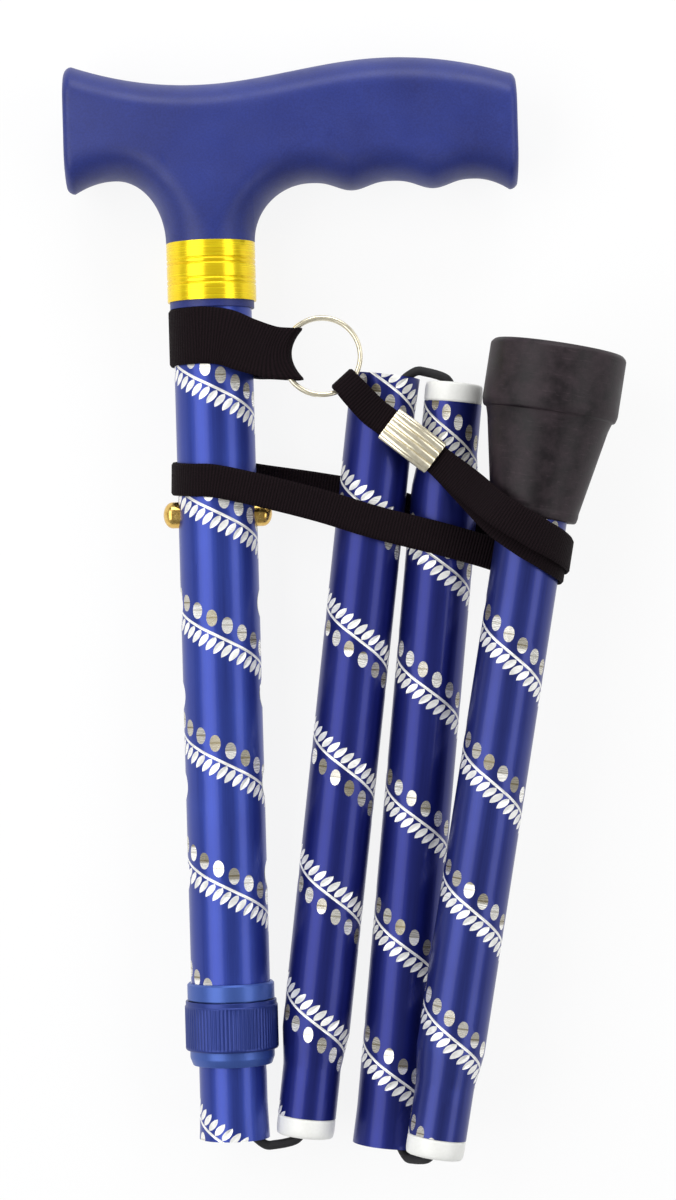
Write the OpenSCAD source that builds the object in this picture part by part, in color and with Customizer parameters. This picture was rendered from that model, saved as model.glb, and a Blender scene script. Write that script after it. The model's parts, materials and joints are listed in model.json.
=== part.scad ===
// Folding walking cane with a derby handle, folded up and lying on its side.
// Lengths are millimetres and angles are degrees.
// Bench frame: z runs up the first section from its open lower end, x points to the
// folded sections and y points to the floor. lay() turns that frame onto the floor.

/* [Handle] */
// Length of the grip from the neck's axis to its front end
grip_front = 87; // [80:1:100]
// Length of the grip from the neck's axis to its back end
grip_back = 40; // [36:1:50]
// Height of the hump of the grip over the finger scallops
grip_h = 34.5; // [30:0.5:42]
// Thickness of the grip over the neck
grip_t = 29; // [27:0.5:34]
// Thickness of the grip at its two ends
grip_end_t = 24; // [20:0.5:27]
// Place of the hump in front of the neck's axis
hump_x = 52; // [44:1:60]
// Depth of the saddle behind the hump
saddle = 6.3; // [3:0.1:9]
// Rise of the back end over the saddle
heel_rise = 6.8; // [3:0.1:9]
// Drop of the front end under the hump
nose_drop = 5.8; // [3:0.1:9]
// Depth of a finger scallop
scallop = 2.4; // [1:0.1:4]
// Distance between finger scallops
scallop_pitch = 23; // [20:0.5:24]
// Drop of the small horns under the two ends
horn = 5; // [2:0.1:7]
// Height of the neck from the ring to the finger scallops
neck_h = 16.4; // [12:0.1:24]
// Rounding between the flat sides and the edges of the grip
edge_r = 9; // [6:0.5:11]
// Length of the neck's sweep into the front of the grip
neck_sweep = 16.3; // [10:0.1:22]
// Bevel round the ends of the grip
grip_bevel = 1.2; // [0.5:0.1:2]

/* [Collar ring] */
// Height of the ring between the neck and the strap
ring_h = 16.6; // [12:0.1:22]
// Wall of the ring over the handle stem
ring_wall = 0.65; // [0.5:0.05:1.5]
// Depth of the fine grooves in the ring
groove_depth = 0.25; // [0.1:0.05:0.4]
// Width of a fine groove
groove_w = 0.6; // [0.4:0.1:1]
// Length of handle stem that shows under the ring
stem_show = 2; // [1:0.1:5]
// Wall of the handle stem over the upper tube
stem_wall = 0.75; // [0.6:0.05:1.2]

/* [Upper tube] */
// Wall of the upper tube
upper_wall = 1.52; // [1.3:0.01:1.8]
// Length of upper tube between the lock bush and the handle stem
upper_show = 189.3; // [170:0.1:230]
// Depth of the upper tube in the handle
handle_socket = 29; // [20:1:36]
// Number of height holes
hole_count = 5; // [3:1:6]
// Distance between height holes
hole_pitch = 25.4; // [20:0.1:27]
// Distance from the handle stem down to the top height hole
hole_drop = 57.7; // [50:0.1:64]

/* [Lock collar] */
// Wall of the knurled lock collar over the threaded barrel
lock_wall = 2.1; // [1.9:0.05:3.5]
// Height of the knurled band
knurl_h = 13.8; // [10:0.1:20]
// Number of knurl ridges
knurl_count = 40; // [24:1:60]
// Height of the bevelled lower edge
lock_bevel_h = 4.3; // [3:0.1:6]
// Height of the plain bush band over the lock collar
bush_band_h = 5; // [4:0.1:8]
// Wall of the plain bush band over the upper tube
bush_wall = 1.15; // [0.9:0.05:1.6]
// Wall of the threaded barrel of the bush
barrel_wall = 1.42; // [1.2:0.01:1.6]
// Length of the slits between the bush fingers
bush_slit = 9; // [6:0.5:12]

/* [Inner tube] */
// Outside diameter of the inner tube and of the folding sections
tube_d = 19; // [18.8:0.05:19.05]
// Wall of the inner tube and of the folding sections
tube_wall = 1.2; // [1:0.05:1.3]
// Length of inner tube that shows under the lock collar at its shortest
inner_show = 20.8; // [16:0.1:40]
// Length of inner tube over the snap buttons
inner_top = 40; // [36:1:46]
// Widening of the diameter at an open end
bell = 0.8; // [0.4:0.1:1]
// Length of a widened open end
bell_l = 10; // [6:0.5:14]

/* [Snap buttons] */
// Diameter of a snap button
button_d = 7.4; // [6:0.1:8]
// Height of a snap button over the upper tube
button_out = 4.2; // [3:0.1:5]
// Thickness of the spring strip behind the buttons
spring_t = 0.8; // [0.5:0.1:1]
// Width of the spring strip
spring_w = 7; // [5:0.1:8]
// Length of the legs of the spring
spring_l = 26; // [20:0.5:30]

/* [Folding sections] */
// Length of the second and third sections with their plugs
section_l = 215; // [200:1:240]
// Length of the fourth section with its plug and ferrule
last_l = 227; // [215:1:250]
// Clearance of the necked end in the bore of the next section, on the radius
neck_fit = 0.15; // [0.12:0.01:0.3]
// Length of the necked end with its plug
plug_l = 20; // [17:0.5:24]
// Length of the taper behind the necked end
taper_l = 10; // [7:0.5:14]
// Length of white plug that shows
plug_show = 5.6; // [4:0.1:8]
// Length of plug inside the necked end
plug_in = 11; // [8:0.5:12]

/* [Ferrule] */
// Diameter of the ground rim
ferrule_d = 38; // [34:0.5:40]
// Height of the ground rim
ferrule_rim_h = 19; // [14:0.5:22]
// Height of the whole ferrule
ferrule_h = 48; // [44:0.5:54]
// Diameter of the tapered body under the rim
ferrule_body_d = 35; // [30:0.5:36]
// Wall of the tapered body at its mouth
ferrule_wall = 2.5; // [1.8:0.1:4]
// Thickness of the rubber under the tube
ferrule_floor = 9; // [6:0.5:12]
// Thickness of the steel washer on that rubber
washer_t = 1.5; // [1:0.1:2]
// Depth of the tread rings in the ground face
tread = 1.5; // [0.8:0.1:2.5]

/* [Elastic cord] */
// Diameter of the elastic cord
cord_d = 2.6; // [2:0.1:3]
// Height of the upper cord anchor over the open end
anchor_z = 146; // [120:1:150]
// Length of a cord anchor
anchor_l = 9; // [6:0.5:12]
// Distance from the lower cord anchor to the end of the last tube
anchor_inset = 46; // [40:1:60]
// Length of a knot
knot_l = 7; // [5:0.5:9]

/* [Wrist strap] */
// Width of the strap tab round the upper tube
tab_w = 17.4; // [14:0.1:18]
// Width of the strap tab at the split ring
tab_ring_w = 14.4; // [12:0.1:16]
// Width of the wrist strap
strap_w = 9.2; // [8:0.1:10]
// Thickness of one strap ply
strap_t = 0.9; // [0.6:0.05:1]
// Outside diameter of the split ring
split_d = 22.8; // [21:0.1:24]
// Diameter of the split ring's wire
split_wire = 1.4; // [1:0.05:1.5]
// Length of the metal clip on the wrist strap
clip_l = 16.4; // [12:0.1:20]
// Width of the metal clip
clip_w = 10.2; // [9.8:0.1:11]
// Thickness of the metal clip
clip_t = 4.8; // [4.6:0.1:5.2]
// Number of ridges along the metal clip
clip_ridges = 4; // [2:1:5]

/* [Folded pose] */
// Lean of the second section away from the first
fan_2 = 7.6; // [7.2:0.1:9]
// Lean of the third section
fan_3 = 6.6; // [6:0.1:7]
// Lean of the fourth section
fan_4 = 10.4; // [10.2:0.1:12]
// Angle at which the fourth section lies over the third
stack_angle = 50; // [44:1:54]
// Gap between neighbouring tubes at a fold
fold_gap = 0.7; // [0.5:0.1:1.5]
// Tilt of the first section, which keeps the ferrule off the floor when it is unfolded
lay_tilt = 0.3; // [0.2:0.05:0.4]

/* [Hidden] */
$fn = 64;

// Clearances: a glued or pressed seat, a running fit, and open air beside soft pieces
seat_fit = 0.05;
run_fit = 0.08;
air = 0.4;
hole_fit = 0.25;
// Overlap of a cutter past the face that it cuts
cut = 1;

// Diameters that follow from the inner tube outwards
tube_bore = tube_d - 2*tube_wall;
upper_bore = tube_d + 2*run_fit;
upper_d = upper_bore + 2*upper_wall;
stem_d = upper_d + 2*stem_wall;
ring_d = stem_d + 2*ring_wall;
neck_d = ring_d;
bush_band_d = upper_d + 2*bush_wall;
bush_barrel_d = upper_bore + 2*barrel_wall;
lock_d = bush_barrel_d + 2*lock_wall;
neck_tube_d = tube_bore - 2*neck_fit;
ferrule_mouth_d = tube_d + 2*ferrule_wall;

// Heights along the first section
lock_z = inner_show;
bush_z = lock_z + lock_bevel_h + knurl_h;
bush_top = bush_z + bush_band_h;
tube_seat_z = bush_z + 1;
stem_z = bush_top + upper_show;
neck_z = stem_z + stem_show + ring_h;
upper_top = stem_z + handle_socket;
hole_z = stem_z - hole_drop;
inner_l = hole_z + inner_top;

// Bores and fits
hole_d = button_d + 2*hole_fit;
neck_bore = neck_tube_d - 2*tube_wall;
mouth_bore = tube_bore + bell;
cord_hole = cord_d + 1.8;
anchor_hole = cord_d + 2*seat_fit;
button_tip = upper_d/2 + button_out;
foot_t = 0.8;
foot_d = button_d + 1;
foot_x = sqrt(pow(tube_bore/2, 2) - pow(foot_d/2, 2)) - air;
tube_end = last_l - ferrule_floor - washer_t;
ferrule_edge = 1;

// Folded pose: end, direction and side step of each section in the bench frame
spacing = tube_d + fold_gap;
function lean(a) = [sin(a), 0, cos(a)];
function across(a) = [cos(a), 0, -sin(a)];
dir_2 = lean(fan_2);
end_2 = [spacing, 0, 0];
rim_2 = end_2 + section_l*dir_2;
dir_3 = -lean(fan_3);
side_3 = across(fan_2);
end_3 = rim_2 + spacing*side_3;
rim_3 = end_3 + section_l*dir_3;
dir_4 = lean(fan_4);
side_4 = cos(stack_angle)*across(fan_3) + sin(stack_angle)*[0, -1, 0];
end_4 = rim_3 + spacing*side_4;

// Length of cord left in an open end for the push of the next plug
cord_slack = plug_l + taper_l;
// Depth in a plug at which the cord of the section starts, and its gap to the bend
cord_start = plug_show + 1;
cord_gap = 0.15;
// Depth of the lowest cord bend under the last plug
bend_drop = 2.82;

// Upper end of the flat side of the grip, with which it rests on the floor
grip_flat_z = neck_z + neck_h + grip_h - saddle - edge_r;
rest_z = grip_t/2 + grip_flat_z*sin(lay_tilt);
// Reach of the folded bundle, used to centre it on the origin
reach_x = end_4[0] + (last_l - ferrule_edge)*sin(fan_4) + ferrule_d/2*cos(fan_4);
reach_top = neck_z + neck_h + grip_h;
reach_low = end_4[2] - bend_drop;

module lay() {
  translate([(grip_back - reach_x)/2, -(reach_top + reach_low)/2, rest_z])
    rotate([-90 - lay_tilt, 0, 0])
      children();
}

module on_2() {
  lay() translate(end_2) rotate([0, fan_2, 0]) children();
}

module on_3() {
  lay() translate(end_3) rotate([0, 180 + fan_3, 0]) children();
}

module on_4() {
  lay() translate(end_4) rotate([0, fan_4, 0]) children();
}

// Curves and skins

function unit(v) = v/norm(v);

function ease(t) = let (u = min(max(t, 0), 1)) u*u*(3 - 2*u);

function mix(a, b, t) = a + (b - a)*t;

// Points of an arc about [x, y], from angle a0 to a1
function arc(x, y, r, a0, a1, n = 8) =
  [for (i = [0 : n]) let (a = mix(a0, a1, i/n)) [x + r*cos(a), y + r*sin(a)]];

// One point of a smooth curve through four route points
function curve_point(a, b, c, d, t) =
  0.5*(2*b + (c - a)*t + (2*a - 5*b + 4*c - d)*t*t + (3*b - a - 3*c + d)*t*t*t);

// Smooth curve through a route, with a number of steps from point to point
function smooth(route, steps, looped = false) =
  let (n = len(route), last = looped ? n - 1 : n - 2)
  [for (i = [0 : last], s = [0 : (i == last && !looped) ? steps : steps - 1])
    let (
      a = looped ? (i + n - 1)%n : max(i - 1, 0),
      c = (i + 1)%n,
      d = looped ? (i + 2)%n : min(i + 2, n - 1)
    )
    curve_point(route[a], route[i], route[c], route[d], s/steps)];

// Direction of travel at point i of a path
function heading(path, i, looped = false) =
  let (
    n = len(path),
    before = looped ? (i + n - 1)%n : max(i - 1, 0),
    after = looped ? (i + 1)%n : min(i + 1, n - 1)
  )
  unit(path[after] - path[before]);

// Closed skin over rings of equally many points
module skin(rings, looped = false) {
  n = len(rings[0]);
  count = len(rings);
  sides = [
    for (i = [0 : looped ? count - 1 : count - 2], j = [0 : n - 1])
      let (k = (i + 1)%count, m = (j + 1)%n)
        each [[i*n + j, k*n + j, k*n + m], [i*n + j, k*n + m, i*n + m]]
  ];
  caps = looped ? [] : [
    [for (j = [n - 1 : -1 : 0]) (count - 1)*n + j],
    [for (j = [0 : n - 1]) j]
  ];
  polyhedron([for (r = rings) each r], concat(sides, caps));
}

// Round tube along a path that stays near one plane, whose normal is given
module tube_along(path, d, normal, sides = 8) {
  skin([
    for (i = [0 : len(path) - 1])
      let (t = heading(path, i), u = unit(cross(normal, t)), v = cross(t, u))
        [for (j = [0 : sides - 1])
          path[i] + d/2*(cos(360*j/sides)*u + sin(360*j/sides)*v)]
  ]);
}

// Flat ribbon along a looped path of [x, y, z, lean of the width, width, bow].
// The bow moves the edges of the ribbon along x when it has more than one column.
module ribbon(path, t, columns = 1) {
  spots = [for (p = path) [p[0], p[1], p[2]]];
  skin([
    for (i = [0 : len(path) - 1])
      let (
        h = heading(spots, i, true),
        up = lean(path[i][3]),
        w = unit(up - (up*h)*h)*path[i][4]/2,
        n = unit(cross(h, w))*t/2,
        bow = [columns > 1 ? path[i][5] : 0, 0, 0],
        row = [for (j = [0 : columns]) let (s = 1 - 2*j/columns) spots[i] + s*w + s*s*bow]
      )
        concat([for (p = row) p + n], [for (j = [columns : -1 : 0]) row[j] - n])
  ], looped = true);
}

// Handle: a grip whose height and thickness change along x, on a swept neck.
// Heights here start at the neck's lower end.

heel_arch = 26.4;
first_scallop = neck_d/2 + neck_sweep;
last_scallop = first_scallop + 2*scallop_pitch;
saddle_x = -4;
heel_h = neck_h + 2;
edge_min = 0.2;
hump_z = neck_h + grip_h;

function grip_top(x) =
  x < saddle_x ? hump_z - saddle + heel_rise*pow((saddle_x - x)/(saddle_x + grip_back), 2)
  : x < hump_x ? hump_z - saddle*(1 + cos(180*(x - saddle_x)/(hump_x - saddle_x)))/2
  : hump_z - nose_drop*pow((x - hump_x)/(grip_front - hump_x), 2);

// Underside of the grip without its neck: back arch, scallops and horns
function grip_under(x) =
  x < -heel_arch ? heel_h - horn*pow((x + heel_arch)/(grip_back - heel_arch), 2)
  : x < first_scallop ? mix(heel_h, neck_h, (x + heel_arch)/(heel_arch + first_scallop))
  : x < last_scallop
    ? neck_h - scallop*pow((1 - cos(360*(x - first_scallop)/scallop_pitch))/2, 1.5)
  : neck_h - horn*pow((x - last_scallop)/(grip_front - last_scallop), 2);

function grip_thick(x) =
  grip_t - (grip_t - grip_end_t)*pow(x < 0 ? x/grip_back : x/grip_front, 2);

// Lower edge of the handle at x, with the neck and its sweeps
function handle_under(x) =
  let (arch = x < 0 ? heel_arch : first_scallop, h = x < 0 ? heel_h : neck_h)
  abs(x) <= neck_d/2 ? 0
  : abs(x) < arch ? h*sqrt(1 - pow((arch - abs(x))/(arch - neck_d/2), 2))
  : grip_under(x);

// Places of the outlines along the handle
function sweep_stops(arch, n) =
  [for (i = [0 : n]) neck_d/2 + (arch - neck_d/2)*(1 - cos(90*i/n))];

handle_stops = concat(
  [for (i = [0 : 4]) mix(-grip_back + grip_bevel, -heel_arch, i/5)],
  [for (i = [0 : 6]) -sweep_stops(heel_arch, 6)[6 - i]],
  [for (i = [1 : 5]) neck_d/2*(i/3 - 1)],
  sweep_stops(first_scallop, 6),
  [for (i = [1 : 16]) mix(first_scallop, last_scallop, i/16)],
  [for (i = [1 : 4]) mix(last_scallop, grip_front - grip_bevel, i/4)]
);

// Lower edge of the handle behind and in front of the neck, as chains of points
back_edge = [for (x = handle_stops) if (x <= -neck_d/2) [x, handle_under(x)]];
front_edge = [for (x = handle_stops) if (x >= neck_d/2) [x, handle_under(x)]];

function line_gap(p, a, b) =
  let (t = min(max((p - a)*(b - a)/((b - a)*(b - a)), 0), 1))
  norm(p - a - t*(b - a));

function edge_gap(p, edge) =
  min([for (i = [0 : len(edge) - 2]) line_gap(p, edge[i], edge[i + 1])]);

// Half thickness of the handle: flat sides that turn over in quarter circles at the edges,
// and a round neck
function handle_half(x, z) =
  let (
    up = ease(z/neck_h),
    low_r = mix(neck_d/2, edge_r, up),
    low = max(0, 1 - min(edge_gap([x, z], back_edge), edge_gap([x, z], front_edge))/low_r),
    top = max(0, 1 - (grip_top(x) - z)/edge_r),
    thick = mix(neck_d, grip_thick(x), up)
  )
  max(edge_min, thick/2*sqrt(max(0, 1 - low*low - top*top)));

// Outline of the handle across x, drawn in by the end bevel
function handle_ring(x, inset, steps = 13) =
  let (lo = handle_under(x), hi = grip_top(x), mid = (lo + hi)/2)
  [for (j = [0 : 2*steps + 1])
    let (
      k = j <= steps ? j : 2*steps + 1 - j,
      z = mix(lo, hi, (1 - cos(180*k/steps))/2),
      w = max(edge_min, handle_half(x, z) - inset)
    )
    [x, j <= steps ? w : -w, mid + (z - mid)*(1 - 2*inset/(hi - lo))]];

module handle() {
  color([0.16, 0.24, 0.62])
    lay()
      difference() {
        union() {
          translate([0, 0, neck_z])
            skin(concat(
              [handle_ring(-grip_back, grip_bevel)],
              [for (x = handle_stops) handle_ring(x, 0)],
              [handle_ring(grip_front, grip_bevel)]
            ));
          translate([0, 0, stem_z])
            cylinder(d = stem_d, h = stem_show + ring_h + cut);
        }
        translate([0, 0, stem_z - cut])
          cylinder(d = upper_d + 2*seat_fit, h = handle_socket + cut + seat_fit);
      }
}

module collar_ring() {
  pair = 1.4;
  color([0.95, 0.78, 0.15])
    lay()
      translate([0, 0, stem_z + stem_show])
        difference() {
          cylinder(d = ring_d, h = ring_h);
          translate([0, 0, -cut])
            cylinder(d = stem_d + 2*seat_fit, h = ring_h + 2*cut);
          for (third = [1, 2], side = [-1, 1])
            translate([0, 0, third*ring_h/3 + side*pair/2 - groove_w/2])
              difference() {
                cylinder(d = ring_d + 2*cut, h = groove_w);
                translate([0, 0, -cut])
                  cylinder(d = ring_d - 2*groove_depth, h = groove_w + 2*cut);
              }
        }
}

// Holes across the first section at the given heights
module cross_holes(heights, d) {
  for (z = heights)
    translate([0, 0, z])
      rotate([0, 90, 0])
        cylinder(d = d, h = 2*upper_d, center = true);
}

module upper_tube() {
  color([0.17, 0.24, 0.66])
    lay()
      difference() {
        translate([0, 0, tube_seat_z])
          cylinder(d = upper_d, h = upper_top - tube_seat_z);
        translate([0, 0, tube_seat_z - cut])
          cylinder(d = upper_bore, h = upper_top - tube_seat_z + 2*cut);
        cross_holes([for (i = [0 : hole_count - 1]) hole_z - i*hole_pitch], hole_d);
      }
}

// Collet bush: a band that holds the upper tube, over slit fingers that grip the inner one
module collet_bush() {
  finger_z = lock_z + lock_bevel_h - 1;
  nose = (bush_barrel_d - upper_bore)/4;
  slit_w = 1.2;
  color([0.2, 0.3, 0.72])
    lay()
      difference() {
        rotate_extrude()
          polygon([
            [upper_bore/2, finger_z],
            [bush_barrel_d/2 - nose, finger_z],
            [bush_barrel_d/2, finger_z + 2*nose],
            [bush_barrel_d/2, bush_z + air],
            [bush_band_d/2, bush_z + air],
            [bush_band_d/2, bush_top - 0.5],
            [bush_band_d/2 - 0.5, bush_top],
            [upper_d/2 + seat_fit, bush_top],
            [upper_d/2 + seat_fit, tube_seat_z],
            [upper_bore/2, tube_seat_z]
          ]);
        for (a = [0 : 90 : 270])
          rotate([0, 0, a])
            translate([0, -slit_w/2, finger_z - cut])
              cube([bush_band_d, slit_w, bush_slit + cut]);
      }
}

// Lock collar: a knurled nut that squeezes the bush fingers
module lock_collar() {
  ridge = 0.5;
  step_d = lock_d - 2.4;
  floor_z = lock_z + lock_bevel_h - 1 - air;
  outline = [
    for (i = [0 : 4*knurl_count - 1])
      let (r = lock_d/2 - (i%4 < 2 ? 0 : ridge), a = 360*i/(4*knurl_count))
        r*[cos(a), sin(a)]
  ];
  color([0.2, 0.3, 0.72])
    lay()
      difference() {
        union() {
          translate([0, 0, lock_z + lock_bevel_h])
            linear_extrude(knurl_h)
              polygon(outline);
          translate([0, 0, lock_z])
            cylinder(d1 = step_d - 1.6, d2 = step_d, h = lock_bevel_h/2);
          translate([0, 0, lock_z + lock_bevel_h/2])
            cylinder(d = step_d, h = lock_bevel_h/2 + cut);
        }
        translate([0, 0, lock_z - cut])
          cylinder(d = tube_d + 2*air, h = lock_bevel_h + knurl_h);
        translate([0, 0, floor_z])
          cylinder(d = bush_barrel_d + 2*run_fit, h = lock_bevel_h + knurl_h + cut);
      }
}

// Tube with a widened open end at height l, hollow from height z0
module open_tube(z0, l) {
  rotate_extrude()
    polygon([
      [tube_bore/2, z0],
      [tube_d/2, z0],
      [tube_d/2, l - bell_l],
      [tube_d/2 + bell/2, l],
      [mouth_bore/2, l],
      [tube_bore/2, l - bell_l]
    ]);
}

module inner_tube() {
  color([0.17, 0.24, 0.66])
    lay()
      difference() {
        translate([0, 0, inner_l])
          mirror([0, 0, 1])
            open_tube(0, inner_l);
        cross_holes([hole_z], hole_d);
      }
}

// Snap button that points along +x, with the foot that the spring pushes on
module snap_button() {
  dome = 2.6;
  color([0.93, 0.78, 0.42])
    translate([0, 0, hole_z])
      rotate([0, 90, 0])
        rotate_extrude()
          polygon(concat(
            [
              [0, foot_x - foot_t],
              [foot_d/2, foot_x - foot_t],
              [foot_d/2, foot_x],
              [button_d/2, foot_x],
              [button_d/2, button_tip - dome]
            ],
            [for (a = [15 : 15 : 75])
              [button_d/2*cos(a), button_tip - dome + dome*sin(a)]],
            [[0, button_tip]]
          ));
}

module snap_button_right() {
  lay() snap_button();
}

module snap_button_left() {
  lay() mirror([1, 0, 0]) snap_button();
}

// Spring: a strip bent into a hairpin, with a leg behind each button
module button_spring() {
  leg_x = foot_x - foot_t - seat_fit;
  bend_r = leg_x - spring_t;
  color([0.7, 0.7, 0.72])
    lay()
      rotate([90, 0, 0])
        translate([0, 0, -spring_w/2])
          linear_extrude(spring_w)
            difference() {
              union() {
                translate([-leg_x, hole_z - button_d/2])
                  square([2*leg_x, spring_l]);
                translate([0, hole_z - button_d/2 + spring_l])
                  circle(leg_x);
              }
              translate([-bend_r, hole_z - button_d/2 - cut])
                square([2*bend_r, spring_l + cut]);
              translate([0, hole_z - button_d/2 + spring_l])
                circle(bend_r);
            }
}

// Plug that the cord is knotted behind, from height 0 up
module anchor() {
  color([0.85, 0.85, 0.83])
    difference() {
      cylinder(d = tube_bore - 2*seat_fit, h = anchor_l);
      translate([0, 0, -cut])
        cylinder(d = anchor_hole, h = anchor_l + 2*cut);
    }
}

// Knot at the end of the cord, open in the middle for the cord itself
module knot() {
  core = anchor_hole/2;
  color([0.08, 0.08, 0.09])
    rotate_extrude()
      polygon(concat(
        [[core, 0]],
        arc(core + cord_d/2, knot_l/2, knot_l/2, -90, 90, 10),
        [[core, knot_l]]
      ));
}

module cord_run(z0, z1) {
  color([0.08, 0.08, 0.09])
    translate([0, 0, z0])
      cylinder(d = cord_d, h = z1 - z0);
}

module cord_anchor_upper() {
  lay() translate([0, 0, anchor_z]) anchor();
}

module cord_knot_upper() {
  lay() translate([0, 0, anchor_z + anchor_l]) knot();
}

module cord_upper() {
  lay() cord_run(cord_slack, anchor_z + anchor_l + knot_l);
}

// Cord over a fold: out of the open end at rim, over its edge and into the plug at tip
module cord_bend(rim, into, side, tip, ahead) {
  over = cord_d/2 + air;
  route = [
    rim + into*(cord_slack - cord_gap),
    rim + into*(cord_slack - 6),
    rim + into*12,
    rim + into*3 + side*(mouth_bore/2 - 2*cord_d),
    rim - into*(over + 0.2) + side*(mouth_bore/2 - 0.7),
    rim - into*(over + 0.6) + side*(mouth_bore/2 + 2.8),
    tip - into*1.2 - side*(cord_hole/2 + 0.6),
    tip + ahead*1.2 - side*0.9,
    tip + ahead*4.4,
    tip + ahead*(cord_start - cord_gap)
  ];
  color([0.08, 0.08, 0.09])
    lay()
      tube_along(smooth(route, 3), cord_d, unit(cross(side, into)));
}

module cord_bend_1() {
  cord_bend([0, 0, 0], [0, 0, 1], [1, 0, 0], end_2, dir_2);
}

module cord_bend_2() {
  cord_bend(rim_2, -dir_2, side_3, end_3, dir_3);
}

module cord_bend_3() {
  cord_bend(rim_3, -dir_3, side_4, end_4, dir_4);
}

// Necked end of a folding section, from the plug's shoulder to height z1
module necked_end(z1) {
  rotate_extrude()
    polygon([
      [neck_bore/2, plug_show],
      [neck_tube_d/2, plug_show],
      [neck_tube_d/2, plug_l],
      [tube_d/2, plug_l + taper_l],
      [tube_d/2, z1],
      [tube_bore/2, z1],
      [tube_bore/2, plug_l + taper_l],
      [neck_bore/2, plug_l]
    ]);
}

module section_tube() {
  join = section_l/2;
  color([0.17, 0.24, 0.66]) {
    necked_end(join);
    open_tube(join, section_l);
  }
}

// White plug with a bell-mouthed hole for the cord
module plug() {
  round_r = 1.6;
  flare = 2;
  color([0.93, 0.93, 0.9])
    rotate_extrude()
      polygon(concat(
        [[cord_hole/2, flare]],
        [[cord_hole/2 + flare, 0]],
        arc(neck_tube_d/2 - round_r, round_r, round_r, -90, 0, 6),
        [
          [neck_tube_d/2, plug_show],
          [neck_bore/2 - seat_fit, plug_show],
          [neck_bore/2 - seat_fit, plug_show + plug_in],
          [cord_hole/2, plug_show + plug_in]
        ]
      ));
}

module tube_2() {
  on_2() section_tube();
}

module plug_2() {
  on_2() plug();
}

module cord_2() {
  on_2() cord_run(cord_start, section_l - cord_slack);
}

module tube_3() {
  on_3() section_tube();
}

module plug_3() {
  on_3() plug();
}

module cord_3() {
  on_3() cord_run(cord_start, section_l - cord_slack);
}

module tube_4() {
  color([0.17, 0.24, 0.66])
    on_4() necked_end(tube_end);
}

module plug_4() {
  on_4() plug();
}

lower_anchor_z = tube_end - anchor_inset - anchor_l - knot_l;

module cord_4() {
  on_4() cord_run(cord_start, lower_anchor_z + anchor_l + knot_l);
}

module cord_anchor_lower() {
  on_4() translate([0, 0, lower_anchor_z]) anchor();
}

module cord_knot_lower() {
  on_4() translate([0, 0, lower_anchor_z + anchor_l]) knot();
}

// Rubber ferrule: tapered body, ground rim with rounded edges, and rings of tread below
module ferrule() {
  mouth_z = last_l - ferrule_h;
  rim_z = last_l - ferrule_rim_h;
  edge = 2.5;
  lip = 1.2;
  tread_w = 1.6;
  bore_r = tube_d/2 + seat_fit;
  tread_r = [for (i = [1 : 3]) ferrule_d/2*(0.22*i + 0.12)];
  color([0.12, 0.12, 0.12])
    on_4()
      difference() {
        rotate_extrude()
          polygon(concat(
            [[0, mouth_z]],
            arc(ferrule_mouth_d/2 - lip, mouth_z + lip, lip, -90, -10, 5),
            [[ferrule_body_d/2, rim_z]],
            arc(ferrule_d/2 - edge, rim_z + edge, edge, -70, 0, 6),
            arc(ferrule_d/2 - ferrule_edge, last_l - ferrule_edge, ferrule_edge, 0, 90, 4),
            [[0, last_l]]
          ));
        translate([0, 0, mouth_z - cut])
          cylinder(r = bore_r, h = tube_end + washer_t - mouth_z + cut);
        for (r = tread_r)
          translate([0, 0, last_l - tread])
            difference() {
              cylinder(r = r + tread_w/2, h = tread + cut);
              translate([0, 0, -cut])
                cylinder(r = r - tread_w/2, h = tread + 3*cut);
            }
      }
}

module ferrule_washer() {
  color([0.7, 0.7, 0.7])
    on_4()
      translate([0, 0, tube_end])
        cylinder(d = tube_d - 2*air, h = washer_t);
}

// Wrist strap: a tab round the upper tube, a split ring, a clip and a long loop.
// The bench y of the front of the tubes is negative.

tab_z = stem_z - tab_w/2 - 2*air;
tab_r = upper_d/2 + air + strap_t/2;
split_z = stem_z - 15;
split_x = end_2[0] + 10.8;
split_r = (split_d - split_wire)/2;
split_gap = 0.45;
split_pitch = split_wire + split_gap;
// Half depth of the split ring with the room that a strap leaves round it
split_half = split_pitch/2 + split_wire/2 + air + strap_t/2;
split_y = -(tube_d/2 + bell/2 + split_half + air);

// The split ring's wire lies in two flat turns about y, with a short crossing between them
crossing = 1/12;
function split_point(turn) =
  let (a = 360*turn - 70, rise = ease((turn - 1 + crossing)/(2*crossing)))
  [split_x + split_r*cos(a), split_y + split_pitch*(rise - 0.5), split_z + split_r*sin(a)];

split_path = [for (i = [0 : 44]) split_point(crossing + i/24)];
echo(split_ring_gap = min([for (i = [0 : 20]) norm(split_path[i + 24] - split_path[i])]) - split_wire);

module split_ring() {
  axis = [0, 1, 0];
  color([0.85, 0.83, 0.72])
    lay()
      skin([
        for (i = [0 : len(split_path) - 1])
          let (out = unit(split_path[i] - [split_x, split_path[i][1], split_z]))
            [for (j = [0 : 7])
              split_path[i] + split_wire/2*(cos(45*j)*out + sin(45*j)*axis)]
      ]);
}

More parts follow.
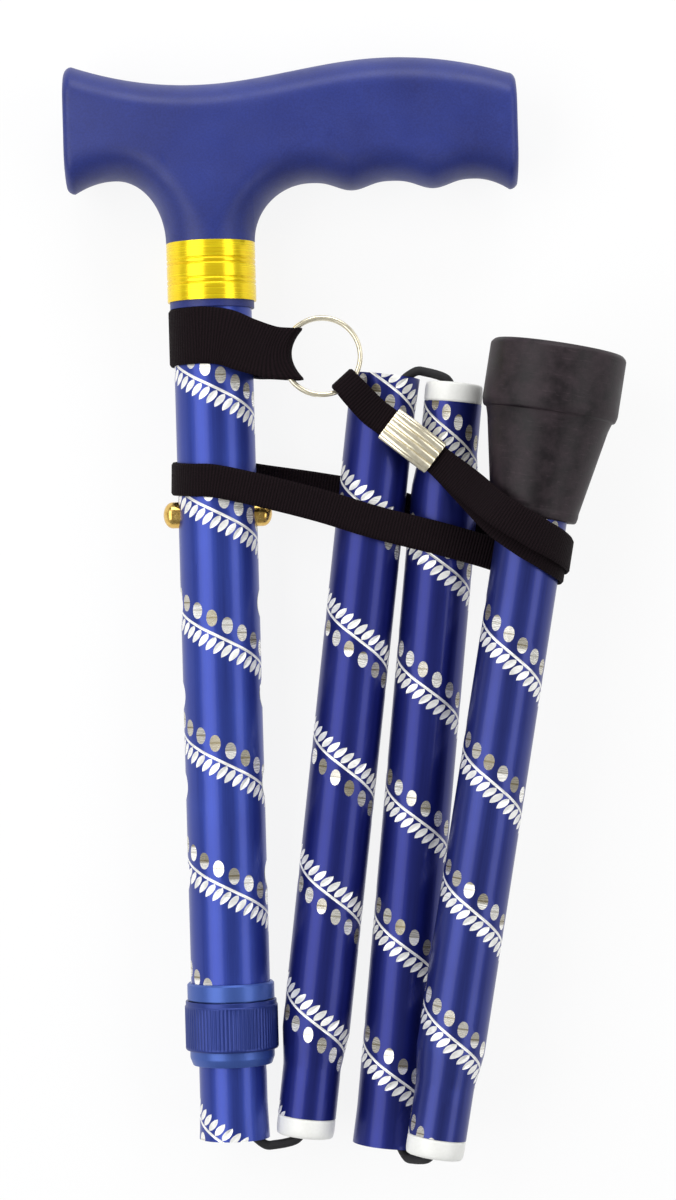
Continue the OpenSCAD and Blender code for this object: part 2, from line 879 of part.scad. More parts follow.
// Tab: wraps the tube and turns round the split ring, whose curve its fold follows
module strap_tab() {
  lift = 0.8;
  low = split_z + lift;
  fold_x = split_x - split_r + split_wire/2 + 2*air + strap_t/2;
  bow = split_r - sqrt(pow(split_r, 2) - pow(tab_ring_w/2 + lift, 2));
  mid_x = fold_x - split_half;
  leave_x = mid_x - 2*split_half + 1;
  front = [leave_x, split_y - split_half];
  back = [leave_x, split_y + split_half];
  a0 = atan2(back[1], back[0]) + acos(tab_r/norm(back));
  a1 = 360 + atan2(front[1], front[0]) - acos(tab_r/norm(front));
  wrap = [for (i = [0 : 14]) let (a = mix(a0, a1, i/14))
    [tab_r*cos(a), tab_r*sin(a), tab_z, 0, tab_w, 0]];
  turn = [for (a = [-90 : 45 : 90])
    [mid_x + split_half*cos(a), split_y + split_half*sin(a), low, 0, tab_ring_w, bow]];
  color([0.1, 0.09, 0.1])
    lay()
      ribbon(smooth(concat(
        wrap,
        [[leave_x, front[1], low, 0, tab_ring_w, bow/2]],
        turn,
        [[leave_x, back[1], low, 0, tab_ring_w, bow/2]]
      ), 2, looped = true), strap_t, columns = 4);
}

// Wrist strap route: [x, y, z, lean of the width, width] of each point.
// Heights count up from the mouth of the ferrule.
strap_z = end_4[2] + (last_l - ferrule_h)*cos(fan_4);
clip_at = [split_x + 24.5, -(tube_d/2 + air + clip_t/2), split_z - 24.2];
clip_slope = 38.8;
clip_past = clip_l/2 + 1.3;
wrap_drop = 3.9;
clip_wall = 0.5;
ring_slope = 49;
ply = strap_t/2 + 0.12;

// Point on the straight line through the clip, at a distance along it and a depth
function on_line(s, y, w) =
  [clip_at[0] + s*cos(clip_slope), y, clip_at[2] - s*sin(clip_slope), clip_slope, w];

// Point on the line from the split ring's middle down the strap
function on_ring(s, y, w) =
  [split_x + s*cos(ring_slope), y, split_z - s*sin(ring_slope), ring_slope, w];

// Place of the axis of a folded section at a height
function axis_x(end, fan, up) = end[0] + (strap_z + up - end[2])*tan(fan);

// Point beside the axis of a folded section
function beside(end, fan, dx, y, up, lean_by) =
  [axis_x(end, fan, up) + dx, y, strap_z + up, lean_by, strap_w];

// Point round the fourth section: angle -90 is its front and 0 its right side
function about_4(a, up, r) =
  beside(end_4, fan_4, r*cos(a), end_4[1] + r*sin(a), up, fan_4);

// Point on the way from the clip to the front of the fourth section
function on_way(t, y, drop) =
  let (a = on_line(clip_past, 0, 0), b = about_4(-90, -wrap_drop, 0))
  [mix(a[0], b[0], t), y, mix(a[2], b[2], t) - drop, clip_slope, strap_w];

front_2 = -(tube_d/2 + 2*air + strap_t/2);
front_1 = -(upper_d/2 + 2*air + strap_t/2);

module strap_clip() {
  ridge_d = 1;
  color([0.84, 0.82, 0.7])
    lay()
      translate(clip_at)
        rotate([0, 90 + clip_slope, 0])
          translate([0, 0, -clip_l/2])
            linear_extrude(clip_l)
              difference() {
                union() {
                  square([clip_w, clip_t - ridge_d], center = true);
                  for (i = [1 : clip_ridges])
                    translate([clip_w*(i/(clip_ridges + 1) - 0.5), -(clip_t - ridge_d)/2])
                      circle(d = ridge_d);
                }
                square([clip_w - 2*clip_wall, clip_t - ridge_d - 2*clip_wall], center = true);
              }
}

module wrist_loop() {
  clip_in = clip_w - 2*clip_wall - 2*air;
  clip_y = clip_at[1];
  ring_w = 7.6;
  inner_r = tube_d/2 + 2*air + strap_t/2;
  outer_r = inner_r + strap_t + air;
  route = concat(
    // round the split ring, from its floor side to its front
    [for (a = [90 : -45 : -90])
      on_ring(split_r - split_half*cos(a), split_y + split_half*sin(a), ring_w)],
    [
      on_ring(split_r + 3, split_y - split_half, 8),
      on_line(-clip_past - 4.5, clip_y - ply - 0.8, clip_in),
      // the outer ply: through the clip and round the fourth section
      on_line(-clip_past, clip_y - ply, clip_in),
      on_line(0, clip_y - ply, clip_in),
      on_line(clip_past, clip_y - ply, clip_in),
      on_way(0.31, end_4[1] - 3.2, 0.6),
      on_way(0.62, end_4[1] - 13.2, 1.6),
      about_4(-90, -wrap_drop, outer_r + 1.8),
      about_4(-55, -7.7, outer_r + 0.6),
      about_4(-20, -10.3, outer_r),
      about_4(15, -11.3, outer_r),
      about_4(50, -10.9, outer_r),
      about_4(85, -9.3, outer_r),
      // behind the third, second and first sections
      beside(end_3, fan_3, 14.4, 2.5, -4.8, 6),
      beside(end_3, fan_3, 5, -front_2 - 1.7, -1.3, 6),
      beside(end_3, fan_3, -3.3, -front_2 + 0.3, 1.7, 6),
      beside(end_2, fan_2, -0.6, -front_2 + 0.3, 7.7, 6),
      beside(end_2, fan_2, -15, -front_2, 10.7, 6),
      [upper_d/2 + 2.9, -front_1 - 0.6, strap_z + 13.3, 6, strap_w]
    ],
    // round the first section
    [for (a = [90 : 30 : 270])
      [-front_1*cos(a), -front_1*sin(a), strap_z + 15.7 - 0.016*(a - 90), 2, strap_w]],
    // in front of the first, second and third sections
    [
      [upper_d/2 + 1.9, front_1, strap_z + 9.7, -8, strap_w],
      beside(end_2, fan_2, -14.2, front_2 - 0.3, 5.2, -10),
      beside(end_2, fan_2, 1.4, front_2 - 0.3, 0.2, -8),
      beside(end_3, fan_3, -2.6, front_2 - 0.3, -4.3, -8),
      beside(end_3, fan_3, 5.7, front_2 + 0.4, -6.7, -8),
      beside(end_3, fan_3, 14, end_4[1] + 6.4, -9.3, -8),
      // the inner ply: round the fourth section and back through the clip
      about_4(105, -12.3, inner_r),
      about_4(70, -13.5, inner_r),
      about_4(35, -14.1, inner_r),
      about_4(0, -13.9, inner_r),
      about_4(-35, -12.5, inner_r),
      about_4(-70, -9.5, inner_r),
      about_4(-100, -6.3, inner_r + 1),
      on_way(0.6, end_4[1] - 11.2, 4.7),
      on_way(0.29, end_4[1] - 1.4, 1.8),
      on_line(clip_past, clip_y + ply, clip_in),
      on_line(0, clip_y + ply, clip_in),
      on_line(-clip_past, clip_y + ply, clip_in),
      on_line(-clip_past - 4.5, clip_y + ply + 0.4, clip_in),
      on_ring(split_r + 3, split_y + split_half, 8)
    ]
  );
  color([0.1, 0.09, 0.1])
    lay()
      ribbon(smooth(route, 2, looped = true), strap_t);
}

handle();
collar_ring();
upper_tube();
collet_bush();
lock_collar();
inner_tube();
snap_button_left();
snap_button_right();
button_spring();
cord_anchor_upper();
cord_knot_upper();
cord_upper();
cord_bend_1();
tube_2();
plug_2();
cord_2();
cord_bend_2();
tube_3();
plug_3();
cord_3();
cord_bend_3();
tube_4();
plug_4();
cord_4();
cord_anchor_lower();
cord_knot_lower();
ferrule();
ferrule_washer();
strap_tab();
split_ring();
strap_clip();
wrist_loop();
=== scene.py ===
"""Looks of a folding walking cane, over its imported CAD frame.

Every piece is worked out in millimetres in the axes of the part that carries it, a Stand, whose
z axis is the tube's own axis and points up in the picture, whose x axis points right and whose
y axis points down into the floor. Stand.place gives metres in the row frame.
"""

import json
import logging
import math
from dataclasses import dataclass, field
from enum import Enum, IntEnum
from typing import Any, Callable, Mapping, Sequence

import bmesh
import bpy
import numpy as np
from mathutils import Matrix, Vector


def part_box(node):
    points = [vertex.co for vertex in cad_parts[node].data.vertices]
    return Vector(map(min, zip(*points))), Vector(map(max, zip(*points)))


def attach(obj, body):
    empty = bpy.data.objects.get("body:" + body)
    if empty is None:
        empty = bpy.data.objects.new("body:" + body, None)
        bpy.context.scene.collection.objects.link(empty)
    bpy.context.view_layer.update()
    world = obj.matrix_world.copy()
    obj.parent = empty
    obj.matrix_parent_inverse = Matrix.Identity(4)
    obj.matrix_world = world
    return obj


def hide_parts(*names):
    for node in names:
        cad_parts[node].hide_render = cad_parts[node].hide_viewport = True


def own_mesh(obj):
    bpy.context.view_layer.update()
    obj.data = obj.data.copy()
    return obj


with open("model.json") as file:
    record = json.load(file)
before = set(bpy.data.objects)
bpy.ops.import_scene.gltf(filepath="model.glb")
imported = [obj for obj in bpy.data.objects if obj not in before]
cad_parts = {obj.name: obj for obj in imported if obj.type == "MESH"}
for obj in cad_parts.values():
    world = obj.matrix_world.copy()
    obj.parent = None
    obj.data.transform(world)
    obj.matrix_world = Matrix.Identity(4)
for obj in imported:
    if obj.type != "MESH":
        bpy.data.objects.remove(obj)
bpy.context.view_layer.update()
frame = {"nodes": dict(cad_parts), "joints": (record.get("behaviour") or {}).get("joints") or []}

MM = 0.001
TURN = 2 * math.pi
QUARTER = math.pi / 2
log = logging.getLogger("folding_cane")

# Sizes in millimetres that several pieces share
AIR = 0.4
UPPER_R = 11.1
TUBE_R = 9.5
BELL = 0.4
SECTION_L = 215.0
LAST_L = 227.0
TIP_H = 48.0
STEM_Z = 233.2
STEM_SHOW = 2.0
RING_H = 16.6
PLUG_SHOW = 5.6
AXIS_R = 0.01

# Which way each folding section points in the picture: 1 is up and -1 is down
WAYS = {2: 1, 3: -1, 4: 1}


def linear(red: int, green: int, blue: int) -> tuple[float, float, float, float]:
    """Turns a screen colour of 0 to 255 per channel into linear light by the sRGB curve.

    Args:
        red: Red of the colour.
        green: Green of the colour.
        blue: Blue of the colour.

    Returns:
        The colour in linear light, with full alpha.
    """
    share = np.array([red, green, blue]) / 255
    light = np.where(share <= 0.04045, share / 12.92, ((share + 0.055) / 1.055) ** 2.4)
    return (*light.tolist(), 1.0)


# Arrays, curves and profiles


def cols(*columns: Any) -> np.ndarray:
    """Spreads arrays to one shape and puts them side by side along a new last axis."""
    return np.stack(np.broadcast_arrays(*columns), -1)


def turned(radius: Any, angle: Any, height: Any) -> np.ndarray:
    """Gives points round z, whose angle t starts in front: x = r sin t and y = -r cos t."""
    return cols(radius * np.sin(angle), -radius * np.cos(angle), height)


def unit(vectors: np.ndarray) -> np.ndarray:
    """Scales vectors along the last axis to length 1."""
    return vectors / np.linalg.norm(vectors, axis=-1, keepdims=True)


def ease(t: Any) -> np.ndarray:
    """Goes smoothly from 0 to 1 as t does."""
    u = np.clip(t, 0, 1)
    return u * u * (3 - 2 * u)


def mix(a: Any, b: Any, t: Any) -> Any:
    """Goes in a straight line from a to b as t goes from 0 to 1."""
    return a + (b - a) * t


def travel(path: np.ndarray) -> np.ndarray:
    """Gives the way along a path from its first point to each of its points."""
    return np.concatenate([[0], np.cumsum(np.linalg.norm(np.diff(path, axis=0), axis=1))])


def headings(path: np.ndarray, looped: bool = False) -> np.ndarray:
    """Gives the unit direction of travel at each point: from the point before to the one after.

    Args:
        path: Points, one a row.
        looped: Whether the path closes on itself.

    Returns:
        One unit vector a row.
    """
    before, after = (path[-1:], path[:1]) if looped else (path[:1], path[-1:])
    padded = np.vstack([before, path, after])
    return unit(padded[2:] - padded[:-2])


def smooth_route(route: np.ndarray, steps: int, looped: bool = False) -> np.ndarray:
    """Lays a Catmull-Rom curve through a route.

    Each span between two points is a cubic whose slope at a point is half the way from the
    point before it to the point after it.

    Args:
        route: Points of the route, one a row, with any number of columns.
        steps: Number of steps from point to point.
        looped: Whether the last point leads back to the first.

    Returns:
        The points of the curve.
    """
    before, after = (route[-1:], route[:2]) if looped else (route[:1], route[-1:])
    padded = np.vstack([before, route, after])
    a, b, c, d = (padded[i:len(padded) - 3 + i, None] for i in range(4))
    t = (np.arange(steps) / steps)[:, None]
    curve = 0.5 * (2 * b + (c - a) * t + (2 * a - 5 * b + 4 * c - d) * t**2
                   + (3 * b - a - 3 * c + d) * t**3)
    curve = curve.reshape(-1, route.shape[1])
    return curve if looped else np.vstack([curve, route[-1:]])


def soft_corners(outline: Sequence[Sequence[float]], radius: float, steps: int = 4) -> np.ndarray:
    """Rounds the corners of a closed outline.

    Each corner becomes a quadratic curve that starts and ends on its two sides, at the radius
    from the corner or at 45% of the side where that is shorter.

    Args:
        outline: Corners as (radius, height).
        radius: Distance from the corner at which the rounding starts.
        steps: Number of points to a corner.

    Returns:
        The points of the rounded outline.
    """
    corner = np.array(outline, float)

    def start(shift: int) -> np.ndarray:
        """Finds where the rounding of each corner meets one of its sides.

        Args:
            shift: 1 for the side before the corner, and -1 for the side after it.

        Returns:
            One point for each corner.
        """
        side = np.roll(corner, shift, 0) - corner
        length = np.linalg.norm(side, axis=1, keepdims=True)
        return (corner + side * np.minimum(radius / length, 0.45))[:, None]

    t = np.linspace(0, 1, steps)[:, None]
    curve = (1 - t) ** 2 * start(1) + 2 * t * (1 - t) * corner[:, None] + t**2 * start(-1)
    return curve.reshape(-1, 2)


# Places


@dataclass(frozen=True)
class Stand:
    """A place with its own axes, in which a piece is drawn in millimetres."""

    origin: np.ndarray
    axes: np.ndarray

    def place(self, points: Any) -> np.ndarray:
        """Turns millimetres on this stand into metres in the row frame."""
        return self.origin + np.asarray(points, float) @ self.axes * MM

    def local(self, points: np.ndarray) -> np.ndarray:
        """Turns metres in the row frame into millimetres on this stand."""
        return (points - self.origin) @ self.axes.T / MM


def joint_axis(name: str) -> np.ndarray:
    """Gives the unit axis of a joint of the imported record."""
    return unit(np.array(next(j["axis"] for j in frame["joints"] if j["name"] == name), float))


def stand_on(joint: str, middle: str, first: str, way: int = 1) -> Stand:
    """Finds the axes of a section, whose origin is its first point on the line of its middle.

    Args:
        joint: The slide against which the section points.
        middle: The CAD node whose middle lies on the section's axis.
        first: The CAD node that holds the section's first point.
        way: 1 where the section points up in the picture, and -1 where it points down.

    Returns:
        The section's stand.
    """
    ahead, depth = -joint_axis(joint), joint_axis("fold_1")
    mesh = frame["nodes"][first].data
    flat = np.empty(3 * len(mesh.vertices), np.float32)
    mesh.vertices.foreach_get("co", flat)
    start = (flat.reshape(-1, 3).astype(float) @ ahead).min()
    centre = np.array(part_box(middle), float).mean(0)
    up = way * ahead
    axes = np.array([np.cross(depth, up), depth, up])
    return Stand(centre + (start - centre @ ahead) * ahead, axes)


# Meshes


class Skin:
    """Gathers arrays of points and faces into one mesh in the row frame."""

    def __init__(self, stand: Stand) -> None:
        """Starts an empty skin on a stand.

        Args:
            stand: The stand on which its points are given.
        """
        self.stand, self.count = stand, 0
        self.points: list[np.ndarray] = []
        self.charts: list[np.ndarray] = []
        self.faces: list[np.ndarray] = []
        self.finishes: list[np.ndarray] = []

    def add(self, points: np.ndarray, chart: np.ndarray, faces: Sequence[np.ndarray],
            finishes: Sequence[Any]) -> "Skin":
        """Adds points with their chart coordinates, and groups of faces with a finish each.

        Args:
            points: Millimetres on the stand, one point a row.
            chart: Two texture coordinates in millimetres for each point, and two more where
                the finish needs the number and the height of its cell.
            faces: Arrays of point numbers, one face a row.
            finishes: The finish number of each array of faces.

        Returns:
            The skin itself.
        """
        self.points.append(points)
        self.charts.append(np.pad(chart, ((0, 0), (0, 4 - chart.shape[1]))))
        self.faces += [group + self.count for group in faces]
        self.finishes += [np.full(len(group), which) for group, which in zip(faces, finishes)]
        self.count += len(points)
        return self

    def grid(self, points: np.ndarray, chart: np.ndarray, finish: Any = 0) -> "Skin":
        """Adds a grid of quads over points that are laid out in rows and columns.

        Args:
            points: Array of rows, columns and the three coordinates.
            chart: Array of rows, columns and two texture coordinates.
            finish: The finish number of the grid, or one for each column of quads.

        Returns:
            The skin itself.
        """
        rows, columns = points.shape[:2]
        n = np.arange(rows * columns).reshape(rows, columns)
        each = np.broadcast_to(finish, (rows - 1, columns - 1)).ravel()
        quads = cols(n[:-1, :-1], n[:-1, 1:], n[1:, 1:], n[1:, :-1]).reshape(-1, 4)
        return self.add(points.reshape(-1, 3), chart.reshape(-1, 2), [quads], [each])

    def lid(self, ring: np.ndarray) -> "Skin":
        """Closes a ring of points with one flat face."""
        return self.add(ring, np.zeros((len(ring), 2)), [np.arange(len(ring))[None]], [0])

    def bmesh(self) -> bmesh.types.BMesh:
        """Makes a mesh whose doubled points are merged and whose faces point outwards.

        Returns:
            The working mesh.
        """
        made = bmesh.new()
        mesh = bpy.data.meshes.new("skin")
        self._fill(mesh)
        made.from_mesh(mesh)
        bpy.data.meshes.remove(mesh)
        bmesh.ops.remove_doubles(made, verts=made.verts, dist=2e-6)
        bmesh.ops.dissolve_degenerate(made, edges=made.edges, dist=1e-6)
        bmesh.ops.recalc_face_normals(made, faces=made.faces)
        return made

    def _fill(self, mesh: bpy.types.Mesh) -> None:
        """Writes the gathered arrays into an empty mesh.

        Args:
            mesh: The empty mesh.
        """
        chart = np.vstack(self.charts)
        faces = [face for group in self.faces for face in group.tolist()]
        mesh.from_pydata(self.stand.place(np.vstack(self.points)).tolist(), [], faces)
        corner = np.empty(len(mesh.loops), np.int32)
        mesh.loops.foreach_get("vertex_index", corner)
        layers = {"chart": chart[:, :2]}
        if chart[:, 2:].any():
            layers["cell"] = chart[:, 2:]
        for name, layer in layers.items():
            flat = layer[corner].ravel().astype(np.float32)
            mesh.uv_layers.new(name=name).data.foreach_set("uv", flat)
        numbers = np.concatenate(self.finishes).astype(np.int32)
        mesh.polygons.foreach_set("material_index", numbers)
        mesh.update()


def as_mesh(name: str, made: bmesh.types.BMesh) -> bpy.types.Mesh:
    """Turns a working mesh into a stored one.

    Args:
        name: Name of the stored mesh.
        made: The working mesh, which is freed.

    Returns:
        The stored mesh.
    """
    mesh = bpy.data.meshes.new(name)
    made.to_mesh(mesh)
    made.free()
    return mesh


def in_scene(name: str, data: bpy.types.ID) -> bpy.types.Object:
    """Makes an object and links it into the scene.

    Args:
        name: Name of the object.
        data: Its mesh, light or camera.

    Returns:
        The object.
    """
    made = bpy.data.objects.new(name, data)
    bpy.context.scene.collection.objects.link(made)
    return made


def finished(name: str, source: Skin | bmesh.types.BMesh, finishes: Sequence["Finish"],
             sharp: float = 30.0) -> bpy.types.Object:
    """Turns a skin into an object that is smooth except at its sharp edges.

    Args:
        name: Name of the piece.
        source: The skin, or a mesh already made from one.
        finishes: The finishes in the order of their numbers.
        sharp: Angle between two faces in degrees above which their edge stays sharp.

    Returns:
        The object, in the scene and at the origin.
    """
    mesh = as_mesh(name, source.bmesh() if isinstance(source, Skin) else source)
    mesh.polygons.foreach_set("use_smooth", np.ones(len(mesh.polygons), bool))
    mesh.set_sharp_from_angle(angle=math.radians(sharp))
    for finish in finishes:
        mesh.materials.append(finish.material())
    return in_scene(name, mesh)


def carve(piece: bpy.types.Object, cutter: Skin, finish: int, sharp: float) -> None:
    """Cuts a closed skin out of a piece.

    Args:
        piece: The piece to cut.
        cutter: The skin of what is taken away.
        finish: The finish number of the cut faces.
        sharp: Angle above which an edge stays sharp.
    """
    mesh = as_mesh("cutter", cutter.bmesh())
    for material in piece.data.materials:
        mesh.materials.append(material)
    mesh.polygons.foreach_set("material_index", np.full(len(mesh.polygons), finish, np.int32))
    tool = in_scene("cutter", mesh)
    cut = piece.modifiers.new("cut", "BOOLEAN")
    cut.object, cut.operation, cut.solver = tool, "DIFFERENCE", "EXACT"
    whole = piece.evaluated_get(bpy.context.evaluated_depsgraph_get())
    carved = bpy.data.meshes.new_from_object(whole)
    piece.modifiers.clear()
    old, piece.data = piece.data, carved
    carved.name = piece.name
    carved.set_sharp_from_angle(angle=math.radians(sharp))
    bpy.data.objects.remove(tool)
    for spare in (mesh, old):
        bpy.data.meshes.remove(spare)


def fit(piece: bpy.types.Object, body: str, slot: str, *nodes: str) -> bpy.types.Object:
    """Lets a piece ride on its body and stand for its CAD nodes.

    Args:
        piece: The finished piece.
        body: The CAD body that it rides on.
        slot: The record's material slot, which is not used.
        nodes: The CAD nodes that it replaces.

    Returns:
        The piece.
    """
    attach(piece, body)
    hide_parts(*nodes)
    log.info("%s: %d faces on %s", piece.name, len(piece.data.polygons), body)
    return piece


def revolve(skin: Skin, outline: np.ndarray, columns: int, finish: Any = 0,
            ripple: Callable[[np.ndarray, np.ndarray], np.ndarray] | None = None,
            axis: int = 2) -> Skin:
    """Turns a closed outline of (radius, height) about an axis of the stand.

    Args:
        skin: The skin to add to.
        outline: Points of the closed outline.
        columns: Number of steps round the axis.
        finish: The finish number, or one for each side of the outline.
        ripple: Change of the radius by angle and outline point, in millimetres.
        axis: 2 to turn about z, or 0 to turn about x.

    Returns:
        The skin.
    """
    closed = np.vstack([outline, outline[:1]])
    angle = np.linspace(0, TURN, columns + 1)[:, None]
    radius = closed[None, :, 0] + (0 * angle if ripple is None else ripple(angle, closed[None]))
    points = turned(radius, angle, closed[None, :, 1])
    if axis == 0:
        points = points[..., [2, 0, 1]]
    return skin.grid(points, cols(angle * closed[:, 0].max(), travel(closed)), finish)


def cylinder(skin: Skin, start: Sequence[float], end: Sequence[float], radius: float,
             columns: int = 32) -> Skin:
    """Adds a closed cylinder between two points.

    Args:
        skin: The skin to add to.
        start: Middle of the first lid.
        end: Middle of the second lid.
        radius: Radius of the cylinder.
        columns: Number of its sides.

    Returns:
        The skin.
    """
    a, b, askew = np.array([start, end, (0.3, 0.9, 0.2)], float)
    run = unit(b - a)
    side = unit(np.cross(run, askew))
    angle = np.linspace(0, TURN, columns + 1)[:, None]
    ring = radius * (np.cos(angle) * side + np.sin(angle) * np.cross(run, side))
    skin.grid(np.stack([a + ring, b + ring]), np.zeros((2, columns + 1, 2)))
    return skin.lid(a + ring[:-1]).lid(b + ring[:-1])


@dataclass(frozen=True)
class Braid:
    """Strands of a braided cord that wind both ways round it."""

    strands: int = 8
    lay: float = 9.0
    height: float = 0.12

    def relief(self, angle: np.ndarray, along: np.ndarray) -> np.ndarray:
        """Gives the change of the radius where the two sets of strands cross.

        The relief is the higher of two waves, one of which turns right and one left as it goes
        along the cord, less the height of the crests.

        Args:
            angle: Angle round the cord.
            along: Way along the cord in millimetres.

        Returns:
            The change of the radius, which is 0 on the crests.
        """
        half, wind = self.strands / 2, TURN * along / self.lay
        right, left = (np.abs(np.cos(half * (angle + way * wind))) for way in (1, -1))
        return self.height * (np.maximum(right, left) - 1)


def sweep_round(skin: Skin, path: np.ndarray, radius: float, normal: Sequence[float],
                sides: int, braid: Braid | None = None) -> Skin:
    """Carries a circle along a path that keeps near one plane.

    At each point the circle lies across the heading t, on u = normal x t and v = t x u.

    Args:
        skin: The skin to add to.
        path: Points of the path in millimetres.
        radius: Radius of the circle.
        normal: Normal of the plane.
        sides: Number of sides of the circle.
        braid: Strands that lie proud of the surface.

    Returns:
        The skin.
    """
    ahead = headings(path)
    across = unit(np.cross(np.broadcast_to(normal, path.shape), ahead))
    rise = np.cross(ahead, across)
    along = travel(path)[:, None]
    angle = np.linspace(0, TURN, sides + 1)[None]
    reach = np.full((len(path), sides + 1), radius)
    if braid is not None:
        reach = reach + braid.relief(angle, along)
    spoke = np.cos(angle)[..., None] * across[:, None] + np.sin(angle)[..., None] * rise[:, None]
    points = path[:, None] + reach[..., None] * spoke
    skin.grid(points, cols(angle * radius, along))
    return skin.lid(points[0, :-1]).lid(points[-1, :-1])


# Shader graphs


class Wire:
    """A socket whose arithmetic adds Math nodes."""

    def __init__(self, graph: "Graph", socket: bpy.types.NodeSocket | None) -> None:
        """Wraps an output socket of a graph."""
        self.graph, self.socket = graph, socket

    def output(self, name: str) -> "Wire":
        """Gives another output of the same node."""
        return Wire(self.graph, self.socket.node.outputs[name])

    def math(self, operation: str, first: Any, second: Any = 0.0) -> "Wire":
        """Adds a Math node on two values or wires."""
        return self.graph.node("ShaderNodeMath", {"operation": operation}, {0: first, 1: second})

    def __add__(self, other: Any) -> "Wire":
        """Adds another value."""
        return self.math("ADD", self, other)

    __radd__ = __add__

    def __sub__(self, other: Any) -> "Wire":
        """Takes another value away."""
        return self.math("SUBTRACT", self, other)

    def __rsub__(self, other: Any) -> "Wire":
        """Takes this value away from another."""
        return self.math("SUBTRACT", other, self)

    def __mul__(self, other: Any) -> "Wire":
        """Multiplies by another value."""
        return self.math("MULTIPLY", self, other)

    __rmul__ = __mul__

    def sine(self) -> "Wire":
        """Takes the sine of this value."""
        return self.math("SINE", self)

    def size(self) -> "Wire":
        """Takes this value without its sign."""
        return self.math("ABSOLUTE", self)

    def at_most(self, other: Any) -> "Wire":
        """Takes the lower of this and another value."""
        return self.math("MINIMUM", self, other)

    def at_least(self, other: Any) -> "Wire":
        """Takes the higher of this and another value."""
        return self.math("MAXIMUM", self, other)


class Graph:
    """The node tree of one material or world."""

    def __init__(self, owner: bpy.types.Material | bpy.types.World) -> None:
        """Empties the owner's tree.

        Args:
            owner: The material or world.
        """
        owner.use_nodes = True
        self.tree = owner.node_tree
        self.tree.nodes.clear()

    def node(self, kind: str, settings: Mapping[str, Any] | None = None,
             inputs: Mapping[str | int, Any] | None = None, output: str | int = 0) -> Wire:
        """Makes a node.

        Args:
            kind: Type of the node.
            settings: Its settings, which are set first.
            inputs: Values or wires of its input sockets.
            output: Which output to give back.

        Returns:
            The output as a wire.
        """
        made = self.tree.nodes.new(kind)
        for key, value in (settings or {}).items():
            setattr(made, key, value)
        for key, value in (inputs or {}).items():
            if isinstance(value, Wire):
                self.tree.links.new(value.socket, made.inputs[key])
            else:
                made.inputs[key].default_value = value
        return Wire(self, made.outputs[output] if len(made.outputs) else None)

    def scaled(self, place: str, *sizes: float) -> Wire:
        """Gives one of the texture coordinates, in repeats of a size for each axis.

        Args:
            place: Which coordinates.
            sizes: What one repeat measures along each axis.

        Returns:
            The scaled coordinates.
        """
        spot = self.node("ShaderNodeTexCoord", output=place)
        scale = tuple(1 / size for size in sizes)
        return self.node("ShaderNodeVectorMath", {"operation": "MULTIPLY"}, {0: spot, 1: scale})

    def chart(self, across: float, along: float) -> Wire:
        """Gives the piece's own chart, in repeats of millimetres across and along the piece."""
        return self.scaled("UV", across, along, 1.0)

    def spots(self, size: float, drawn: float = 1.0) -> Wire:
        """Gives object coordinates in repeats of millimetres, drawn out across the cane."""
        return self.scaled("Object", size * drawn * MM, size * MM, size * drawn * MM)

    def noise(self, place: Wire, detail: float = 2.0, rough: float = 0.5) -> Wire:
        """Adds a noise whose grain is one repeat of the place."""
        return self.node("ShaderNodeTexNoise", {"noise_dimensions": "3D"},
                         {"Vector": place, "Scale": 1.0, "Detail": detail, "Roughness": rough})

    def chance(self, number: Wire) -> Wire:
        """Gives a random share for each number."""
        return self.node("ShaderNodeTexWhiteNoise", {"noise_dimensions": "1D"}, {"W": number})

    def between(self, share: Wire, low: Sequence[float], high: Sequence[float]) -> Wire:
        """Mixes two colours by a share of 0 to 1."""
        return self.node("ShaderNodeMix", {"data_type": "RGBA"},
                         {0: share, 6: tuple(low), 7: tuple(high)}, output=2)

    def spread(self, value: Wire, first: float = 0.0, last: float = 1.0, low: float = 0.3,
               high: float = 0.7) -> Wire:
        """Maps a value from one range to another, held at its ends.

        Args:
            value: The value to map.
            first: What the lower end becomes.
            last: What the upper end becomes.
            low: Lower end; by default where most of a noise starts.
            high: Upper end; by default where most of a noise ends.

        Returns:
            The mapped value.
        """
        return self.node("ShaderNodeMapRange", {"clamp": True},
                         {"Value": value, "From Min": low, "From Max": high,
                          "To Min": first, "To Max": last})

    def bump(self, height: Wire, depth: float, strength: float = 0.5) -> Wire:
        """Turns a height of 0 to 1 into a normal, for a relief of the given millimetres."""
        return self.node("ShaderNodeBump", None,
                         {"Height": height, "Distance": depth * MM, "Strength": strength})

    def surface(self, inputs: Mapping[str, Any]) -> None:
        """Ends the tree in a Principled shader with the given inputs."""
        shader = self.node("ShaderNodeBsdfPrincipled", None, inputs)
        self.node("ShaderNodeOutputMaterial", None, {"Surface": shader})


# Finishes


@dataclass(frozen=True)
class Finish:
    """A finish between two tones, made once and shared by its pieces."""

    name: str
    light: tuple
    dark: tuple

    def material(self) -> bpy.types.Material:
        """Gives the finish's material, which is painted at its first use.

        Returns:
            The material.
        """
        found = bpy.data.materials.get(self.name)
        if found is None:
            found = bpy.data.materials.new(self.name)
            self.paint(Graph(found))
        return found

    def tone(self, graph: Graph, share: Wire) -> Wire:
        """Goes from the dark to the light tone by a share of 0 to 1."""
        return graph.between(share, self.dark, self.light)

    def paint(self, graph: Graph) -> None:
        """Builds the nodes of the finish."""
        raise NotImplementedError


